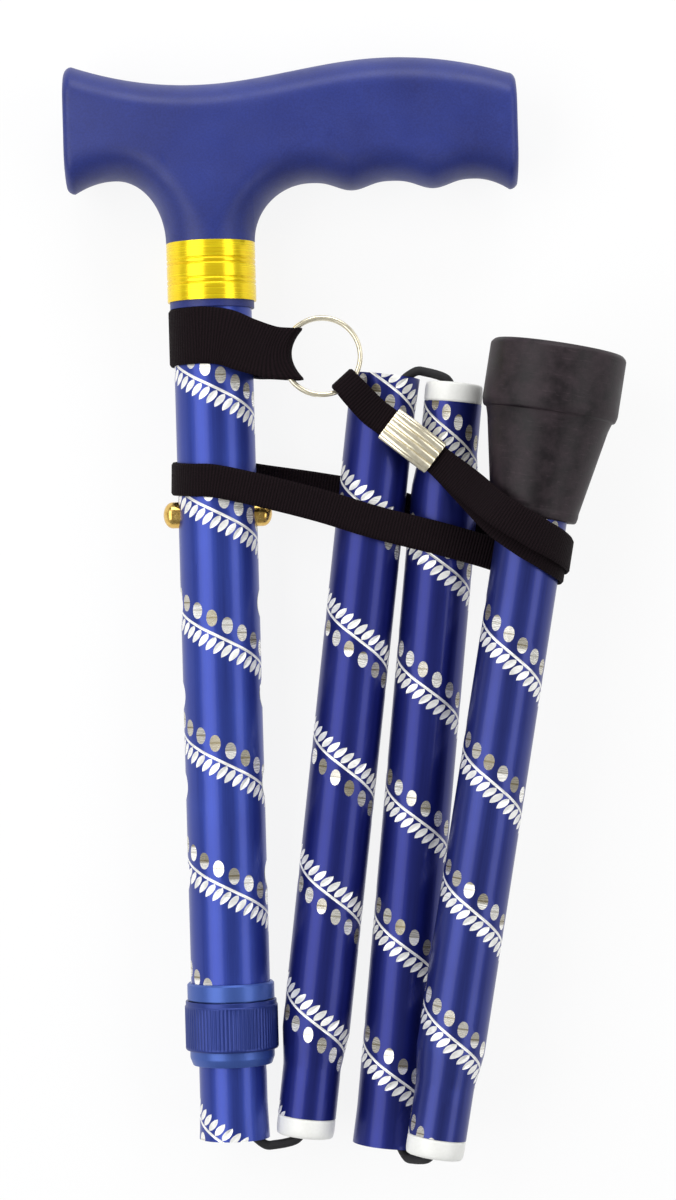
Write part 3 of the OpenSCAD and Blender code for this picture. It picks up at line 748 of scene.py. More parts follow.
@dataclass(frozen=True)
class Anodised(Finish):
    """Dyed aluminium with the fine lengthwise lines of a drawn tube."""

    roughness: float = 0.4
    metallic: float = 0.75
    coat: float = 0.25
    coat_roughness: float = 0.12
    line: float = 0.35
    line_l: float = 60.0
    line_share: float = 0.55
    cloud: float = 16.0
    relief: float = 0.004

    def paint(self, graph: Graph) -> None:
        """Mixes two dyes along drawn lines, and roughens the surface in the same lines.

        Args:
            graph: The empty tree of the finish's material.
        """
        lines = graph.noise(graph.chart(self.line, self.line_l), 3.0, 0.6)
        clouds = graph.noise(graph.spots(self.cloud))
        share = graph.spread(lines * self.line_share + clouds * (1 - self.line_share))
        graph.surface({
            "Base Color": self.tone(graph, share),
            "Metallic": self.metallic,
            "Roughness": graph.spread(
                lines, self.roughness - 0.05, self.roughness + 0.07, 0.25, 0.75),
            "Coat Weight": self.coat,
            "Coat Roughness": self.coat_roughness,
            "Normal": graph.bump(lines, self.relief),
        })


@dataclass(frozen=True)
class BrightCut(Finish):
    """Bare aluminium where a turning cutter has gone through the dye."""

    roughness: float = 0.32
    metallic: float = 0.3
    line: tuple = (3.0, 0.25)
    patch: float = 2.5
    relief: float = 0.004

    def paint(self, graph: Graph) -> None:
        """Lays fine cutter lines round the tube over bare metal.

        Args:
            graph: The empty tree of the finish's material.
        """
        lines = graph.noise(graph.chart(*self.line), 1.0)
        patches = graph.noise(graph.spots(self.patch), 1.0)
        graph.surface({
            "Base Color": self.tone(graph, graph.spread(patches, high=0.6)),
            "Metallic": self.metallic,
            "Roughness": graph.spread(lines, self.roughness - 0.06, self.roughness + 0.1),
            "Normal": graph.bump(lines, self.relief),
        })


@dataclass(frozen=True)
class TurnedDot(Finish):
    """Dish that a round cutter leaves, with a painted reflection: a bright half, a dark half of
    painted shade and the line between them.

    Heights in a dish go from -1 to 1. Chance puts the split between the halves anywhere from
    split_low to split_low + split_reach, so that some dishes are all bright or all in painted
    shade.
    """

    metallic: float = 0.5
    split_low: float = -1.7
    split_reach: float = 3.0
    split_blur: float = 0.12
    least_painted_shade: float = 0.45
    line_at: float = 0.05
    line_half: float = 0.04
    line_dark: float = 0.45
    ring: tuple = (2.4, 0.3)
    ring_share: float = 0.2
    next_draw: float = 71.0
    relief: float = 0.004

    def paint(self, graph: Graph) -> None:
        """Shares each dish into the two halves of its painted reflection, at a height and in a
        tone that chance gives it.

        Args:
            graph: The empty tree of the finish's material.
        """
        cell = graph.node("ShaderNodeUVMap", {"uv_map": "cell"})
        parts = graph.node("ShaderNodeSeparateXYZ", None, {0: cell})
        number, height = parts.output("X"), parts.output("Y")
        # Chance sets where each dish's painted reflection splits and how dark its painted shade
        # half is.
        place, painted_shade = graph.chance(number), graph.chance(number + self.next_draw)
        split = graph.spread(height - (place * self.split_reach + self.split_low),
                             low=-self.split_blur, high=self.split_blur)
        line = graph.spread((height - self.line_at).size(), self.line_dark, 0.0,
                            self.line_half, 3 * self.line_half)
        rings = graph.noise(graph.chart(*self.ring), 1.0)
        share = (split * (self.least_painted_shade + (1 - self.least_painted_shade) * painted_shade) + line
                 + self.ring_share * rings - self.ring_share / 2)
        graph.surface({
            "Base Color": self.tone(graph, 1 - share.at_most(1.0).at_least(0.0)),
            "Metallic": self.metallic,
            "Roughness": graph.spread(rings, 0.2, 0.34),
            "Normal": graph.bump(rings, self.relief),
        })


@dataclass(frozen=True)
class Moulded(Finish):
    """Moulded plastic with a faint grain and rubbed patches."""

    roughness: float = 0.42
    grain: float = 0.5
    shine: float = 0.5
    cloud: float = 22.0
    rub: float = 7.0
    relief: float = 0.01

    def paint(self, graph: Graph) -> None:
        """Shifts the colour in wide clouds and a fine grain, and rubs the gloss in patches.

        Args:
            graph: The empty tree of the finish's material.
        """
        clouds = graph.noise(graph.spots(self.cloud), 3.0)
        grain = graph.noise(graph.spots(self.grain))
        rubbed = graph.noise(graph.spots(self.rub), 3.0, 0.6)
        share = graph.spread(clouds, 0.0, 0.6) + graph.spread(grain, 0.0, 0.4, 0.35, 0.65)
        graph.surface({
            "Base Color": self.tone(graph, share),
            "Specular IOR Level": self.shine,
            "Roughness": graph.spread(rubbed, self.roughness - 0.05, self.roughness + 0.06),
            "Normal": graph.bump(grain, self.relief, 0.6),
        })


@dataclass(frozen=True)
class Polished(Finish):
    """Plated or turned metal with faint marks."""

    roughness: float = 0.2
    marks: float = 1.2
    metallic: float = 1.0
    drawn: float = 1.0
    relief: float = 0.004

    def paint(self, graph: Graph) -> None:
        """Mixes two tones of metal and dulls it in small marks, drawn out on a turned piece.

        Args:
            graph: The empty tree of the finish's material.
        """
        marks = graph.noise(graph.spots(self.marks, self.drawn), 3.0, 0.6)
        graph.surface({
            "Base Color": self.tone(graph, graph.spread(marks)),
            "Metallic": self.metallic,
            "Roughness": graph.spread(
                marks, self.roughness - 0.04, self.roughness + 0.1, high=0.75),
            "Normal": graph.bump(marks, self.relief),
        })


@dataclass(frozen=True)
class Rubber(Finish):
    """Moulded rubber with a dusty bloom and scuffs."""

    bloom: float = 6.0
    pit: float = 0.7
    scuff: tuple = (5.0, 0.8)
    shine: float = 0.28
    relief: float = 0.05

    def paint(self, graph: Graph) -> None:
        """Lays a pale bloom and fine pits over black rubber.

        Args:
            graph: The empty tree of the finish's material.
        """
        bloom = graph.noise(graph.spots(self.bloom), 5.0, 0.65)
        pits = graph.noise(graph.spots(self.pit), 2.0, 0.6)
        streaks = graph.noise(graph.chart(*self.scuff), 3.0, 0.6)
        scuffs = graph.spread(streaks, 0.0, 0.5, 0.58, 0.72)
        share = (graph.spread(bloom, 0.0, 0.8, 0.36, 0.68) + scuffs).at_most(1.0)
        graph.surface({
            "Base Color": self.tone(graph, share),
            "Roughness": graph.spread(bloom, 0.42, 0.6),
            "Specular IOR Level": self.shine,
            "Normal": graph.bump(pits, self.relief),
        })


@dataclass(frozen=True)
class Webbing(Finish):
    """Ribbed ribbon, with ribs across its width and finer yarns along it."""

    rib: float = 0.85
    yarn: float = 0.42
    fuzz: float = 0.25
    shares: tuple = (0.6, 0.25, 0.15)
    shine: float = 0.12
    relief: float = 0.3

    def paint(self, graph: Graph) -> None:
        """Rounds each rib with a sine along the ribbon, and crosses it with the warp yarns. The
        colour follows the height, so the valleys are darker: partly painted shade.

        Args:
            graph: The empty tree of the finish's material.
        """
        parts = graph.node("ShaderNodeSeparateXYZ", None, {0: graph.chart(1.0, 1.0)})
        ribs = (parts.output("Y") * (math.pi / self.rib)).sine().size()
        yarns = (parts.output("X") * (math.pi / self.yarn)).sine().size()
        fuzz = graph.noise(graph.chart(self.fuzz, self.fuzz))
        # The colour follows this height: the valleys between ribs are painted shade, the fuzz a
        # random tone of the yarn.
        height = ribs * self.shares[0] + yarns * self.shares[1] + fuzz * self.shares[2]
        graph.surface({
            "Base Color": self.tone(graph, graph.spread(height, low=0.2, high=0.9)),
            "Roughness": graph.spread(fuzz, 0.72, 0.92),
            "Specular IOR Level": self.shine,
            "Normal": graph.bump(height, self.relief, 1.0),
        })


@dataclass(frozen=True)
class Braided(Finish):
    """Sleeve of black yarn over a rubber core."""

    yarn: tuple = (0.2, 0.9)
    relief: float = 0.06

    def paint(self, graph: Graph) -> None:
        """Lays fine yarns along the strands.

        Args:
            graph: The empty tree of the finish's material.
        """
        yarn = graph.noise(graph.chart(*self.yarn))
        graph.surface({
            "Base Color": self.tone(graph, graph.spread(yarn)),
            "Roughness": graph.spread(yarn, 0.6, 0.85),
            "Normal": graph.bump(yarn, self.relief, 0.6),
        })


TUBE_BLUE = Anodised("tube_dye", linear(52, 72, 162), linear(45, 60, 144))
# Darker copies of the tube blue: painted shade on the folding sections.
MILD_SHADE_BLUE = Anodised("tube_painted_mild_shade", linear(45, 57, 134), linear(38, 46, 116))
DARK_SHADE_BLUE = Anodised("tube_painted_dark_shade", linear(33, 43, 126), linear(27, 35, 110))
COLLAR_BLUE = Anodised("collar_dye", linear(44, 62, 136), linear(38, 53, 122), 0.44, 0.65, 0.1)
# Lighter copy of the collar blue for the nut's bevelled step and the bush band: painted light.
LIT_BAND_BLUE = Anodised("collar_band_painted_light", linear(70, 100, 176), linear(60, 86, 162), 0.42, 0.6, 0.1)
HANDLE_BLUE = Moulded("handle_plastic", linear(45, 58, 134), linear(36, 43, 104), 0.44, shine=0.35)
WHITE = Moulded("plug_plastic", linear(246, 246, 242), linear(238, 238, 233), 0.38, 0.8)
BARE = linear(252, 251, 247)
CUT = BrightCut("bright_cut", BARE, (*(0.8 * c for c in BARE[:3]), 1.0))
# The dishes' bright and dark halves are a painted reflection.
DOT = TurnedDot("turned_dot", linear(252, 250, 244), linear(128, 118, 92))
GOLD = Polished("ring_gold", linear(255, 232, 26), linear(250, 206, 16),
                0.22, 0.5, 0.6, drawn=50.0, relief=0.0015)
BORE = Polished("bare_bore", linear(196, 198, 202), linear(164, 166, 172), 0.4)
NICKEL = Polished("clip_nickel", linear(250, 242, 216), linear(232, 221, 192),
                  0.18, metallic=0.7, relief=0.0012)
BRASS = Polished("button_brass", linear(240, 204, 120), linear(212, 168, 84), 0.22)
STEEL = Polished("spring_metal", linear(186, 188, 194), linear(150, 152, 158), 0.28)
RUBBER = Rubber("tip_rubber", linear(56, 45, 50), linear(22, 15, 19))
WEB = Webbing("strap_webbing", linear(24, 12, 17), linear(5, 2, 3))
CORD = Braided("cord_braid", linear(36, 34, 38), linear(10, 10, 12))


# Handle


@dataclass
class Handle:
    """Moulded grip on a swept neck, with the sleeve that holds the upper tube."""

    bench: Stand
    stem_r: float = 11.85
    socket_r: float = 11.15
    socket_h: float = 29.05
    socket_open: float = 5.0
    front: float = 87.0
    back: float = 40.0
    grip_h: float = 34.5
    thick: float = 29.0
    end_thick: float = 24.0
    hump_x: float = 52.0
    saddle: float = 6.3
    saddle_x: float = -4.0
    heel_rise: float = 6.8
    nose_drop: float = 5.8
    scallop: float = 2.4
    scallop_pitch: float = 23.0
    horn: float = 5.0
    neck_r: float = 12.5
    neck_h: float = 16.4
    neck_sweep: float = 16.3
    heel_arch: float = 26.4
    heel_h: float = 18.4
    edge_r: float = 9.0
    bevel: float = 2.2
    seam: float = 0.05
    end_seam: float = 0.03
    steps: int = 40
    sharp: float = 50.0

    @property
    def first_scallop(self) -> float:
        """Place where the neck's sweep ends and the scallops start."""
        return self.neck_r + self.neck_sweep

    @property
    def last_scallop(self) -> float:
        """Place where the scallops end."""
        return self.first_scallop + 2 * self.scallop_pitch

    def top(self, x: np.ndarray) -> np.ndarray:
        """Gives the height of the top line: a heel that rises, a saddle, a hump and a nose.

        Args:
            x: Places along the grip.

        Returns:
            Heights over the neck's foot.
        """
        hump = self.neck_h + self.grip_h
        heel = hump - self.saddle + self.heel_rise * (
            (self.saddle_x - x) / (self.saddle_x + self.back)) ** 2
        turn = math.pi * (x - self.saddle_x) / (self.hump_x - self.saddle_x)
        rise = hump - self.saddle * (1 + np.cos(turn)) / 2
        nose = hump - self.nose_drop * ((x - self.hump_x) / (self.front - self.hump_x)) ** 2
        return np.where(x < self.saddle_x, heel, np.where(x < self.hump_x, rise, nose))

    def under(self, x: np.ndarray) -> np.ndarray:
        """Gives the height of the lower line: heel, neck with its sweeps, scallops and nose.

        The sweeps are quarter ellipses, the scallops are raised cosines to the power 1.5, and
        both ends drop with the square of the way to them.

        Args:
            x: Places along the grip.

        Returns:
            Heights over the neck's foot.
        """
        heel = self.heel_h - self.horn * ((x + self.heel_arch) / (self.back - self.heel_arch)) ** 2
        wave = (1 - np.cos(TURN * (x - self.first_scallop) / self.scallop_pitch)) / 2
        fingers = self.neck_h - self.scallop * np.abs(wave) ** 1.5
        nose = self.neck_h - self.horn * (
            (x - self.last_scallop) / (self.front - self.last_scallop)) ** 2
        arch = np.where(x < 0, self.heel_arch, self.first_scallop)
        high = np.where(x < 0, self.heel_h, self.neck_h)
        share = np.clip((arch - np.abs(x)) / (arch - self.neck_r), 0, 1)
        sweep = high * np.sqrt(1 - share**2)
        grip = np.where(x < 0, heel, np.where(x < self.last_scallop, fingers, nose))
        return np.where(np.abs(x) <= self.neck_r, 0, np.where(np.abs(x) < arch, sweep, grip))

    def stops(self) -> np.ndarray:
        """Gives the places of the outlines along x, close together where the neck sweeps up.

        Returns:
            The places, from the back to the front.
        """
        gather = 1 - np.cos(np.linspace(0, QUARTER, 25))
        back = self.neck_r + (self.heel_arch - self.neck_r) * gather
        return np.concatenate([
            np.linspace(-self.back + self.bevel, -self.heel_arch, 12)[:-1],
            -back[::-1],
            np.linspace(-self.neck_r, self.neck_r, 18)[1:-1],
            self.neck_r + self.neck_sweep * gather,
            np.linspace(self.first_scallop, self.last_scallop, 60)[1:],
            np.linspace(self.last_scallop, self.front - self.bevel, 12)[1:],
        ])

    def half(self, x: np.ndarray, z: np.ndarray) -> np.ndarray:
        """Gives the half thickness of the handle at x and z.

        The sides are flat and turn over in quarter circles near the lower and the top line;
        towards the foot of the neck the circle grows until the neck is round.

        Args:
            x: Places along the grip.
            z: Heights over the neck's foot.

        Returns:
            Half of the thickness.
        """
        places = self.stops()
        gaps = []
        for chain in (places[places <= -self.neck_r], places[places >= self.neck_r]):
            line = cols(chain, self.under(chain))
            run = np.diff(line, axis=0)
            spot = cols(x, z)[..., None, :] - line[:-1]
            share = np.clip((spot * run).sum(-1) / (run * run).sum(-1), 0, 1)
            gaps.append(np.linalg.norm(spot - share[..., None] * run, axis=-1).min(-1))
        up = ease(z / self.neck_h)
        low = np.clip(1 - np.minimum(*gaps) / mix(self.neck_r, self.edge_r, up), 0, None)
        high = np.clip(1 - (self.top(x) - z) / self.edge_r, 0, None)
        reach = np.where(x < 0, self.back, self.front)
        grip = self.thick - (self.thick - self.end_thick) * (x / reach) ** 2
        full = mix(2 * self.neck_r, grip, up) / 2
        return np.maximum(self.seam, full * np.sqrt(np.clip(1 - low**2 - high**2, 0, None)))

    def rings(self) -> np.ndarray:
        """Gives the outlines of the grip across x, with its two ends rounded over.

        An outline runs up one side and down the other, with its points close together near
        both lines. At an end the outline draws in by a quarter circle of the bevel's radius.

        Returns:
            Array of outlines, points and coordinates.
        """
        turn = np.linspace(0, QUARTER, 6)[1:]
        out, drawn = self.bevel * np.sin(turn), self.bevel * (1 - np.cos(turn))
        body = self.stops()
        x = np.concatenate([body[0] - out[::-1], body, body[-1] + out])[:, None]
        inset = np.concatenate([drawn[::-1], np.zeros(len(body)), drawn])[:, None]
        share = (1 - np.cos(np.linspace(0, math.pi, self.steps + 1))) / 2
        line = np.clip(x, body[0], body[-1])
        low, high = self.under(line), self.top(line)
        z = mix(low, high, share)
        half = self.half(np.broadcast_to(line, z.shape), z)
        half = np.maximum(half - inset, self.end_seam)
        mid = (low + high) / 2
        z = mid + (z - mid) * (1 - 2 * inset / (high - low))
        right, left = cols(x, half, z), cols(x, -half, z)[:, ::-1]
        return np.concatenate([right, left, right[:, :1]], 1)

    def build(self) -> None:
        """Builds the grip, carves its socket and adds the sleeve."""
        foot = STEM_Z + STEM_SHOW + RING_H
        rings = self.rings() + [0, 0, foot]
        skin = Skin(self.bench).grid(rings, rings[..., [0, 2]])
        skin.lid(rings[0, :-1]).lid(rings[-1, :-1])
        grip = finished("handle_grip", skin, [HANDLE_BLUE], self.sharp)
        low, high = (0, 0, foot - self.socket_open), (0, 0, STEM_Z + self.socket_h)
        carve(grip, cylinder(Skin(self.bench), low, high, self.socket_r, 64), 0, self.sharp)
        sleeve = soft_corners([(self.socket_r, STEM_Z), (self.stem_r, STEM_Z),
                               (self.stem_r, foot), (self.socket_r, foot)], 0.2)
        stem = finished("handle_sleeve", revolve(Skin(self.bench), sleeve, 96), [HANDLE_BLUE])
        for piece in (grip, stem):
            fit(piece, "shaft", "handle_blue", "handle")


@dataclass
class CollarRing:
    """Gold ring between the neck and the tube, with two pairs of fine grooves."""

    bench: Stand
    radius: float = 12.5
    bore: float = 11.9
    groove_w: float = 0.6
    groove_depth: float = 0.25
    pair: float = 1.4

    def build(self) -> None:
        """Turns the ring's outline, whose grooves are vees in the outer side."""
        middles = [RING_H * t / 3 + s * self.pair / 2 for t in (1, 2) for s in (-1, 1)]
        vee = np.array([[0, -0.5], [-1, -0.15], [-1, 0.15], [0, 0.5]])
        vee = vee * [self.groove_depth, self.groove_w]
        grooves = (vee + cols(self.radius, middles)[:, None]).reshape(-1, 2)
        outline = np.vstack([[(self.bore, 0), (self.radius, 0)], grooves,
                             [(self.radius, RING_H), (self.bore, RING_H)]])
        outline = soft_corners(outline + [0, STEM_Z + STEM_SHOW], 0.12, 3)
        ring = finished("gold_ring", revolve(Skin(self.bench), outline, 128), [GOLD], 40)
        fit(ring, "shaft", "gold_anodised", "collar_ring")


# Tubes with the bright-cut vine


class Way(Enum):
    """Which way up the vine's pattern lies in the picture."""

    DOTS_UP = 1
    DOTS_DOWN = -1


class Layer(IntEnum):
    """The finishes of a tube, by their numbers."""

    DYE_AND_SHADE = 0
    CUT = 1
    BARE = 2
    DISH = 3


Patch = tuple[np.ndarray, list[tuple[np.ndarray, Layer]]]


@dataclass(frozen=True)
class Vine:
    """A stem that winds down a tube to the right, with dots on one side and leaves on the other.

    The pattern is drawn on the unrolled tube: column a goes round the tube, eight columns to
    a tile, and w is the height over the stem. One tile holds one dot and two leaves. A patch
    of it is an array of points as (column, height over the stem, depth), with groups of faces.
    """

    pitch: float
    tiles: int
    stem_at: float
    way: Way = Way.DOTS_UP
    dot_w: float = 2.9
    dot_h: float = 4.5
    dot_from_stem: float = 4.3
    dot_depth: float = 0.13
    dot_room: float = 3.0
    stem_w: float = 0.9
    stem_depth: float = 0.1
    leaf_w: float = 1.95
    leaf_drop: float = 5.5
    leaf_lean: int = 6
    leaf_depth: float = 0.17
    leaf_from: float = 0.01
    leaf_l: float = 0.93

    def tile(self, arc: float, slope: float) -> tuple[np.ndarray, list[np.ndarray], list[Layer]]:
        """Draws one tile.

        Args:
            arc: Millimetres round the tube to a column.
            slope: Drop of the stem for each millimetre round the tube.

        Returns:
            Points as in a patch, groups of faces, and the layer of each group.
        """
        half, stem = self.pitch / 2, self.stem_w / 2
        low, high = self.dot_from_stem - self.dot_room, self.dot_from_stem + self.dot_room
        patches = [
            self._band(np.linspace(half, high, 8)),
            self._band([low, stem]),
            self._band([stem, 0, -stem], [0, self.stem_depth, 0], Layer.CUT),
            self._band(np.linspace(-stem - self.leaf_drop, -half, 8), lean=self.leaf_lean),
            self._dot(arc, slope, low, high),
            *(self._leaf(centre, arc, slope) for centre in (2, 6)),
        ]
        parts = [points for points, _ in patches]
        starts = np.cumsum([0, *map(len, parts)])
        faces = [group + start for start, (_, groups) in zip(starts, patches)
                 for group, _ in groups]
        return np.vstack(parts), faces, [layer for _, groups in patches for _, layer in groups]

    def _band(self, heights: Sequence[float], depths: Any = 0.0, layer: Layer = Layer.DYE_AND_SHADE,
              lean: int = 0) -> Patch:
        """Draws rows of plain quads across the tile.

        Args:
            heights: Height of each row over the stem.
            depths: Depth of the rows, or of each row.
            layer: What the rows show.
            lean: How many columns the rows lie to the left.

        Returns:
            The patch.
        """
        points = cols(np.arange(9) - lean, np.array(heights)[:, None],
                      np.array(depths)[..., None])
        n = np.arange(9 * len(heights)).reshape(-1, 9)
        quads = cols(n[:-1, :-1], n[1:, :-1], n[1:, 1:], n[:-1, 1:])
        return points.reshape(-1, 3), [(quads.reshape(-1, 4), layer)]

    def _dot(self, arc: float, slope: float, low: float, high: float) -> Patch:
        """Draws a dot: an upright oval dish in a cell of the tile.

        The cell's edge has 24 points. The oval has one point on the ray to each of them, and
        its depth falls with the square of the way from its middle.

        Args:
            arc: Millimetres to a column.
            slope: Drop of the stem for each millimetre round the tube.
            low: Lower edge of the cell.
            high: Upper edge of the cell.

        Returns:
            The patch.
        """
        side = np.linspace(low, high, 5)
        a = np.concatenate([np.arange(8), np.full(4, 8), np.arange(8, 0, -1), np.zeros(4)])
        w = np.concatenate([np.full(8, low), side[:-1], np.full(8, high), side[:0:-1]])
        x = (a - 4) * arc
        z = w - self.dot_from_stem - slope * x
        angle = np.arctan2(z / self.dot_h, x / self.dot_w)
        ring_x, ring_z = self.dot_w / 2 * np.cos(angle), self.dot_h / 2 * np.sin(angle)

        def oval(share: float) -> np.ndarray:
            """Gives the oval at a share of its size.

            Args:
                share: The share, 1 at the edge.

            Returns:
                Its points as in a patch.
            """
            column = 4 + share * ring_x / arc
            height = self.dot_from_stem + share * (ring_z + slope * ring_x)
            return cols(column, height, self.dot_depth * (1 - share**2))

        heart = [[4, self.dot_from_stem, self.dot_depth]]
        points = np.vstack([cols(a, w, 0.0), oval(1.0), oval(0.55), heart])
        i = np.arange(24)
        j = np.roll(i, -1)
        return points, [(cols(i, j, 24 + j, 24 + i), Layer.DYE_AND_SHADE),
                        (cols(24 + i, 24 + j, 48 + j, 48 + i), Layer.DISH),
                        (cols(48 + i, 48 + j, 72), Layer.DISH)]

    def _leaf(self, centre: int, arc: float, slope: float) -> Patch:
        """Draws a leaf: a pointed oval with a vee cut along its spine, in a leaning cell.

        The cell's edge and the leaf's edge have 16 points each, and the spine has seven more.
        In the cell p counts columns from the spine, and q goes from 0 at the stem to 1.

        Args:
            centre: Column of the leaf's foot on the stem.
            arc: Millimetres to a column.
            slope: Drop of the stem for each millimetre round the tube.

        Returns:
            The patch.
        """
        lean_x = self.leaf_lean * arc
        run = np.array([-lean_x, -self.leaf_drop + slope * lean_x])
        step = np.array([arc, -slope * arc])
        across = abs(run[0] * step[1] - run[1] * step[0]) / np.linalg.norm(run)
        t = np.arange(9) / 8
        bulge = 4 * t * (1 - t)
        wide = self.leaf_w / 2 / across * bulge**0.75 * (1.12 - 0.3 * t)
        down = self.leaf_from + self.leaf_l * t
        p_edge = np.array([0, 1, 2, 2, 2, 2, 2, 1, 0, -1, -2, -2, -2, -2, -2, -1])
        q_edge = np.array([0, 0, 0, 1, 2, 3, 4, 4, 4, 4, 4, 3, 2, 1, 0, 0]) / 4

        def lay(p: Any, q: np.ndarray, depth: Any) -> np.ndarray:
            """Lays points of the leaning cell out on the tile."""
            w = -self.stem_w / 2 - self.leaf_drop * q
            return cols(centre + p - self.leaf_lean * q, w, depth)

        points = np.vstack([
            lay(p_edge, q_edge, 0.0),
            lay(np.concatenate([wide, -wide[7:0:-1]]), np.concatenate([down, down[7:0:-1]]), 0.0),
            lay(0.0, down[1:8], self.leaf_depth * bulge[1:8] ** 0.6),
        ])
        i = np.arange(16)
        j, k = np.roll(i, -1), i[:7]
        right, ridge, left = (np.concatenate([[16], n, [24]]) for n in (17 + k, 32 + k, 31 - k))
        return points, [(cols(i, 16 + i, 16 + j, j), Layer.DYE_AND_SHADE),
                        (cols(right[:-1], ridge[:-1], ridge[1:], right[1:]), Layer.CUT),
                        (cols(left[:-1], left[1:], ridge[1:], ridge[:-1]), Layer.CUT)]


@dataclass
class VineTube:
    """An aluminium tube, whose dyed outside is cut with the vine; on the folding sections that
    outside is a darker copy of the dye, painted shade.

    The wall is given from low to high as (height, outer radius, inner radius).
    """

    name: str
    stand: Stand
    body: str
    node: str
    vine: Vine
    wall: Sequence[tuple[float, float, float]]
    holes: Sequence[float] = ()
    # The outside's finish: the tube blue, or a darker copy of it that paints shade.
    dye_and_shade: Finish = TUBE_BLUE
    hole_r: float = 3.95
    drill_x: float = 30.0
    columns: int = 96
    overrun: float = 0.8
    sharp: float = 6.0

    def build(self) -> None:
        """Lays the vine's tiles round the tube, trims the ends, adds the bore and drills holes."""
        low, high = self.wall[0][0], self.wall[-1][0]
        made = self._strip(low, high).bmesh()
        axis = self.stand.axes[2]
        for height, way in ((low, -1), (high, 1)):
            bmesh.ops.bisect_plane(
                made, geom=[*made.verts, *made.edges, *made.faces], dist=1e-6, clear_outer=True,
                plane_co=self.stand.place((0, 0, height)), plane_no=axis * way)
        rims = [edge for edge in made.edges if edge.is_boundary]
        bore = as_mesh("bore", self._bore().bmesh())
        old = set(made.edges)
        made.from_mesh(bore)
        bpy.data.meshes.remove(bore)
        rims += [edge for edge in made.edges if edge.is_boundary and edge not in old]
        centre = self.stand.place((0, 0, (low + high) / 2))
        for way in (-1, 1):
            ends = [e for e in rims if (np.array(e.verts[0].co) - centre) @ axis * way > 0]
            filled = bmesh.ops.triangle_fill(made, edges=ends, use_beauty=True, normal=axis * way)
            for face in filled["geom"]:
                if isinstance(face, bmesh.types.BMFace):
                    face.material_index = Layer.BARE
        bmesh.ops.recalc_face_normals(made, faces=made.faces)
        tube = finished(self.name, made, [self.dye_and_shade, CUT, BORE, DOT], self.sharp)
        if self.holes:
            drill = Skin(self.stand)
            for z in self.holes:
                cylinder(drill, (-self.drill_x, 0, z), (self.drill_x, 0, z), self.hole_r)
            carve(tube, drill, Layer.BARE, self.sharp)
        fit(tube, self.body, "tube_blue", self.node)

    def _strip(self, low: float, high: float) -> Skin:
        """Winds the tiles down the tube as one strip, whose edges meet after each turn.

        A point in column c lies at the angle c times the column's angle, and at the height of
        the stem there plus its own height over the stem. A pattern with its dots down is the
        same strip turned half round.

        Args:
            low: Lower end of the tube.
            high: Upper end of the tube.

        Returns:
            The skin, which overruns both ends.
        """
        vine, way = self.vine, self.vine.way.value
        heights, radii, _ = np.array(self.wall).T
        full = np.median(radii)
        step = TURN / (8 * vine.tiles)
        slope = vine.pitch / (TURN * full)
        points, faces, layers = vine.tile(full * step, slope)
        column, over, depth = points.T
        span = np.array([low, high]) - vine.stem_at
        turns = np.sort(-way * span / vine.pitch) + [-self.overrun, self.overrun]
        first, last = math.floor(turns[0] * vine.tiles), math.ceil(turns[1] * vine.tiles)
        number = np.arange(first, last)[:, None]
        angle = (column + 8 * number) * step
        height = vine.stem_at + way * (over - vine.pitch * angle / TURN)
        radius = np.interp(height, heights, radii) - depth
        spots = turned(radius, way * angle, height)
        cell = over - vine.dot_from_stem - slope * (column - 4) * full * step
        chart = cols(way * angle * full, height, number, way * cell * 2 / vine.dot_h)
        shift = np.arange(len(number))[:, None, None] * len(points)
        groups = [(group + shift).reshape(-1, group.shape[1]) for group in faces]
        return Skin(self.stand).add(spots.reshape(-1, 3), chart.reshape(-1, 4), groups, layers)

    def _bore(self) -> Skin:
        """Turns the inside of the wall about the axis.

        Returns:
            The open skin of the bore.
        """
        height, _, radius = np.array(self.wall).T
        angle = np.linspace(0, TURN, self.columns + 1)[:, None]
        chart = cols(angle * radius[0], height)
        return Skin(self.stand).grid(turned(radius, angle, height), chart, Layer.BARE)


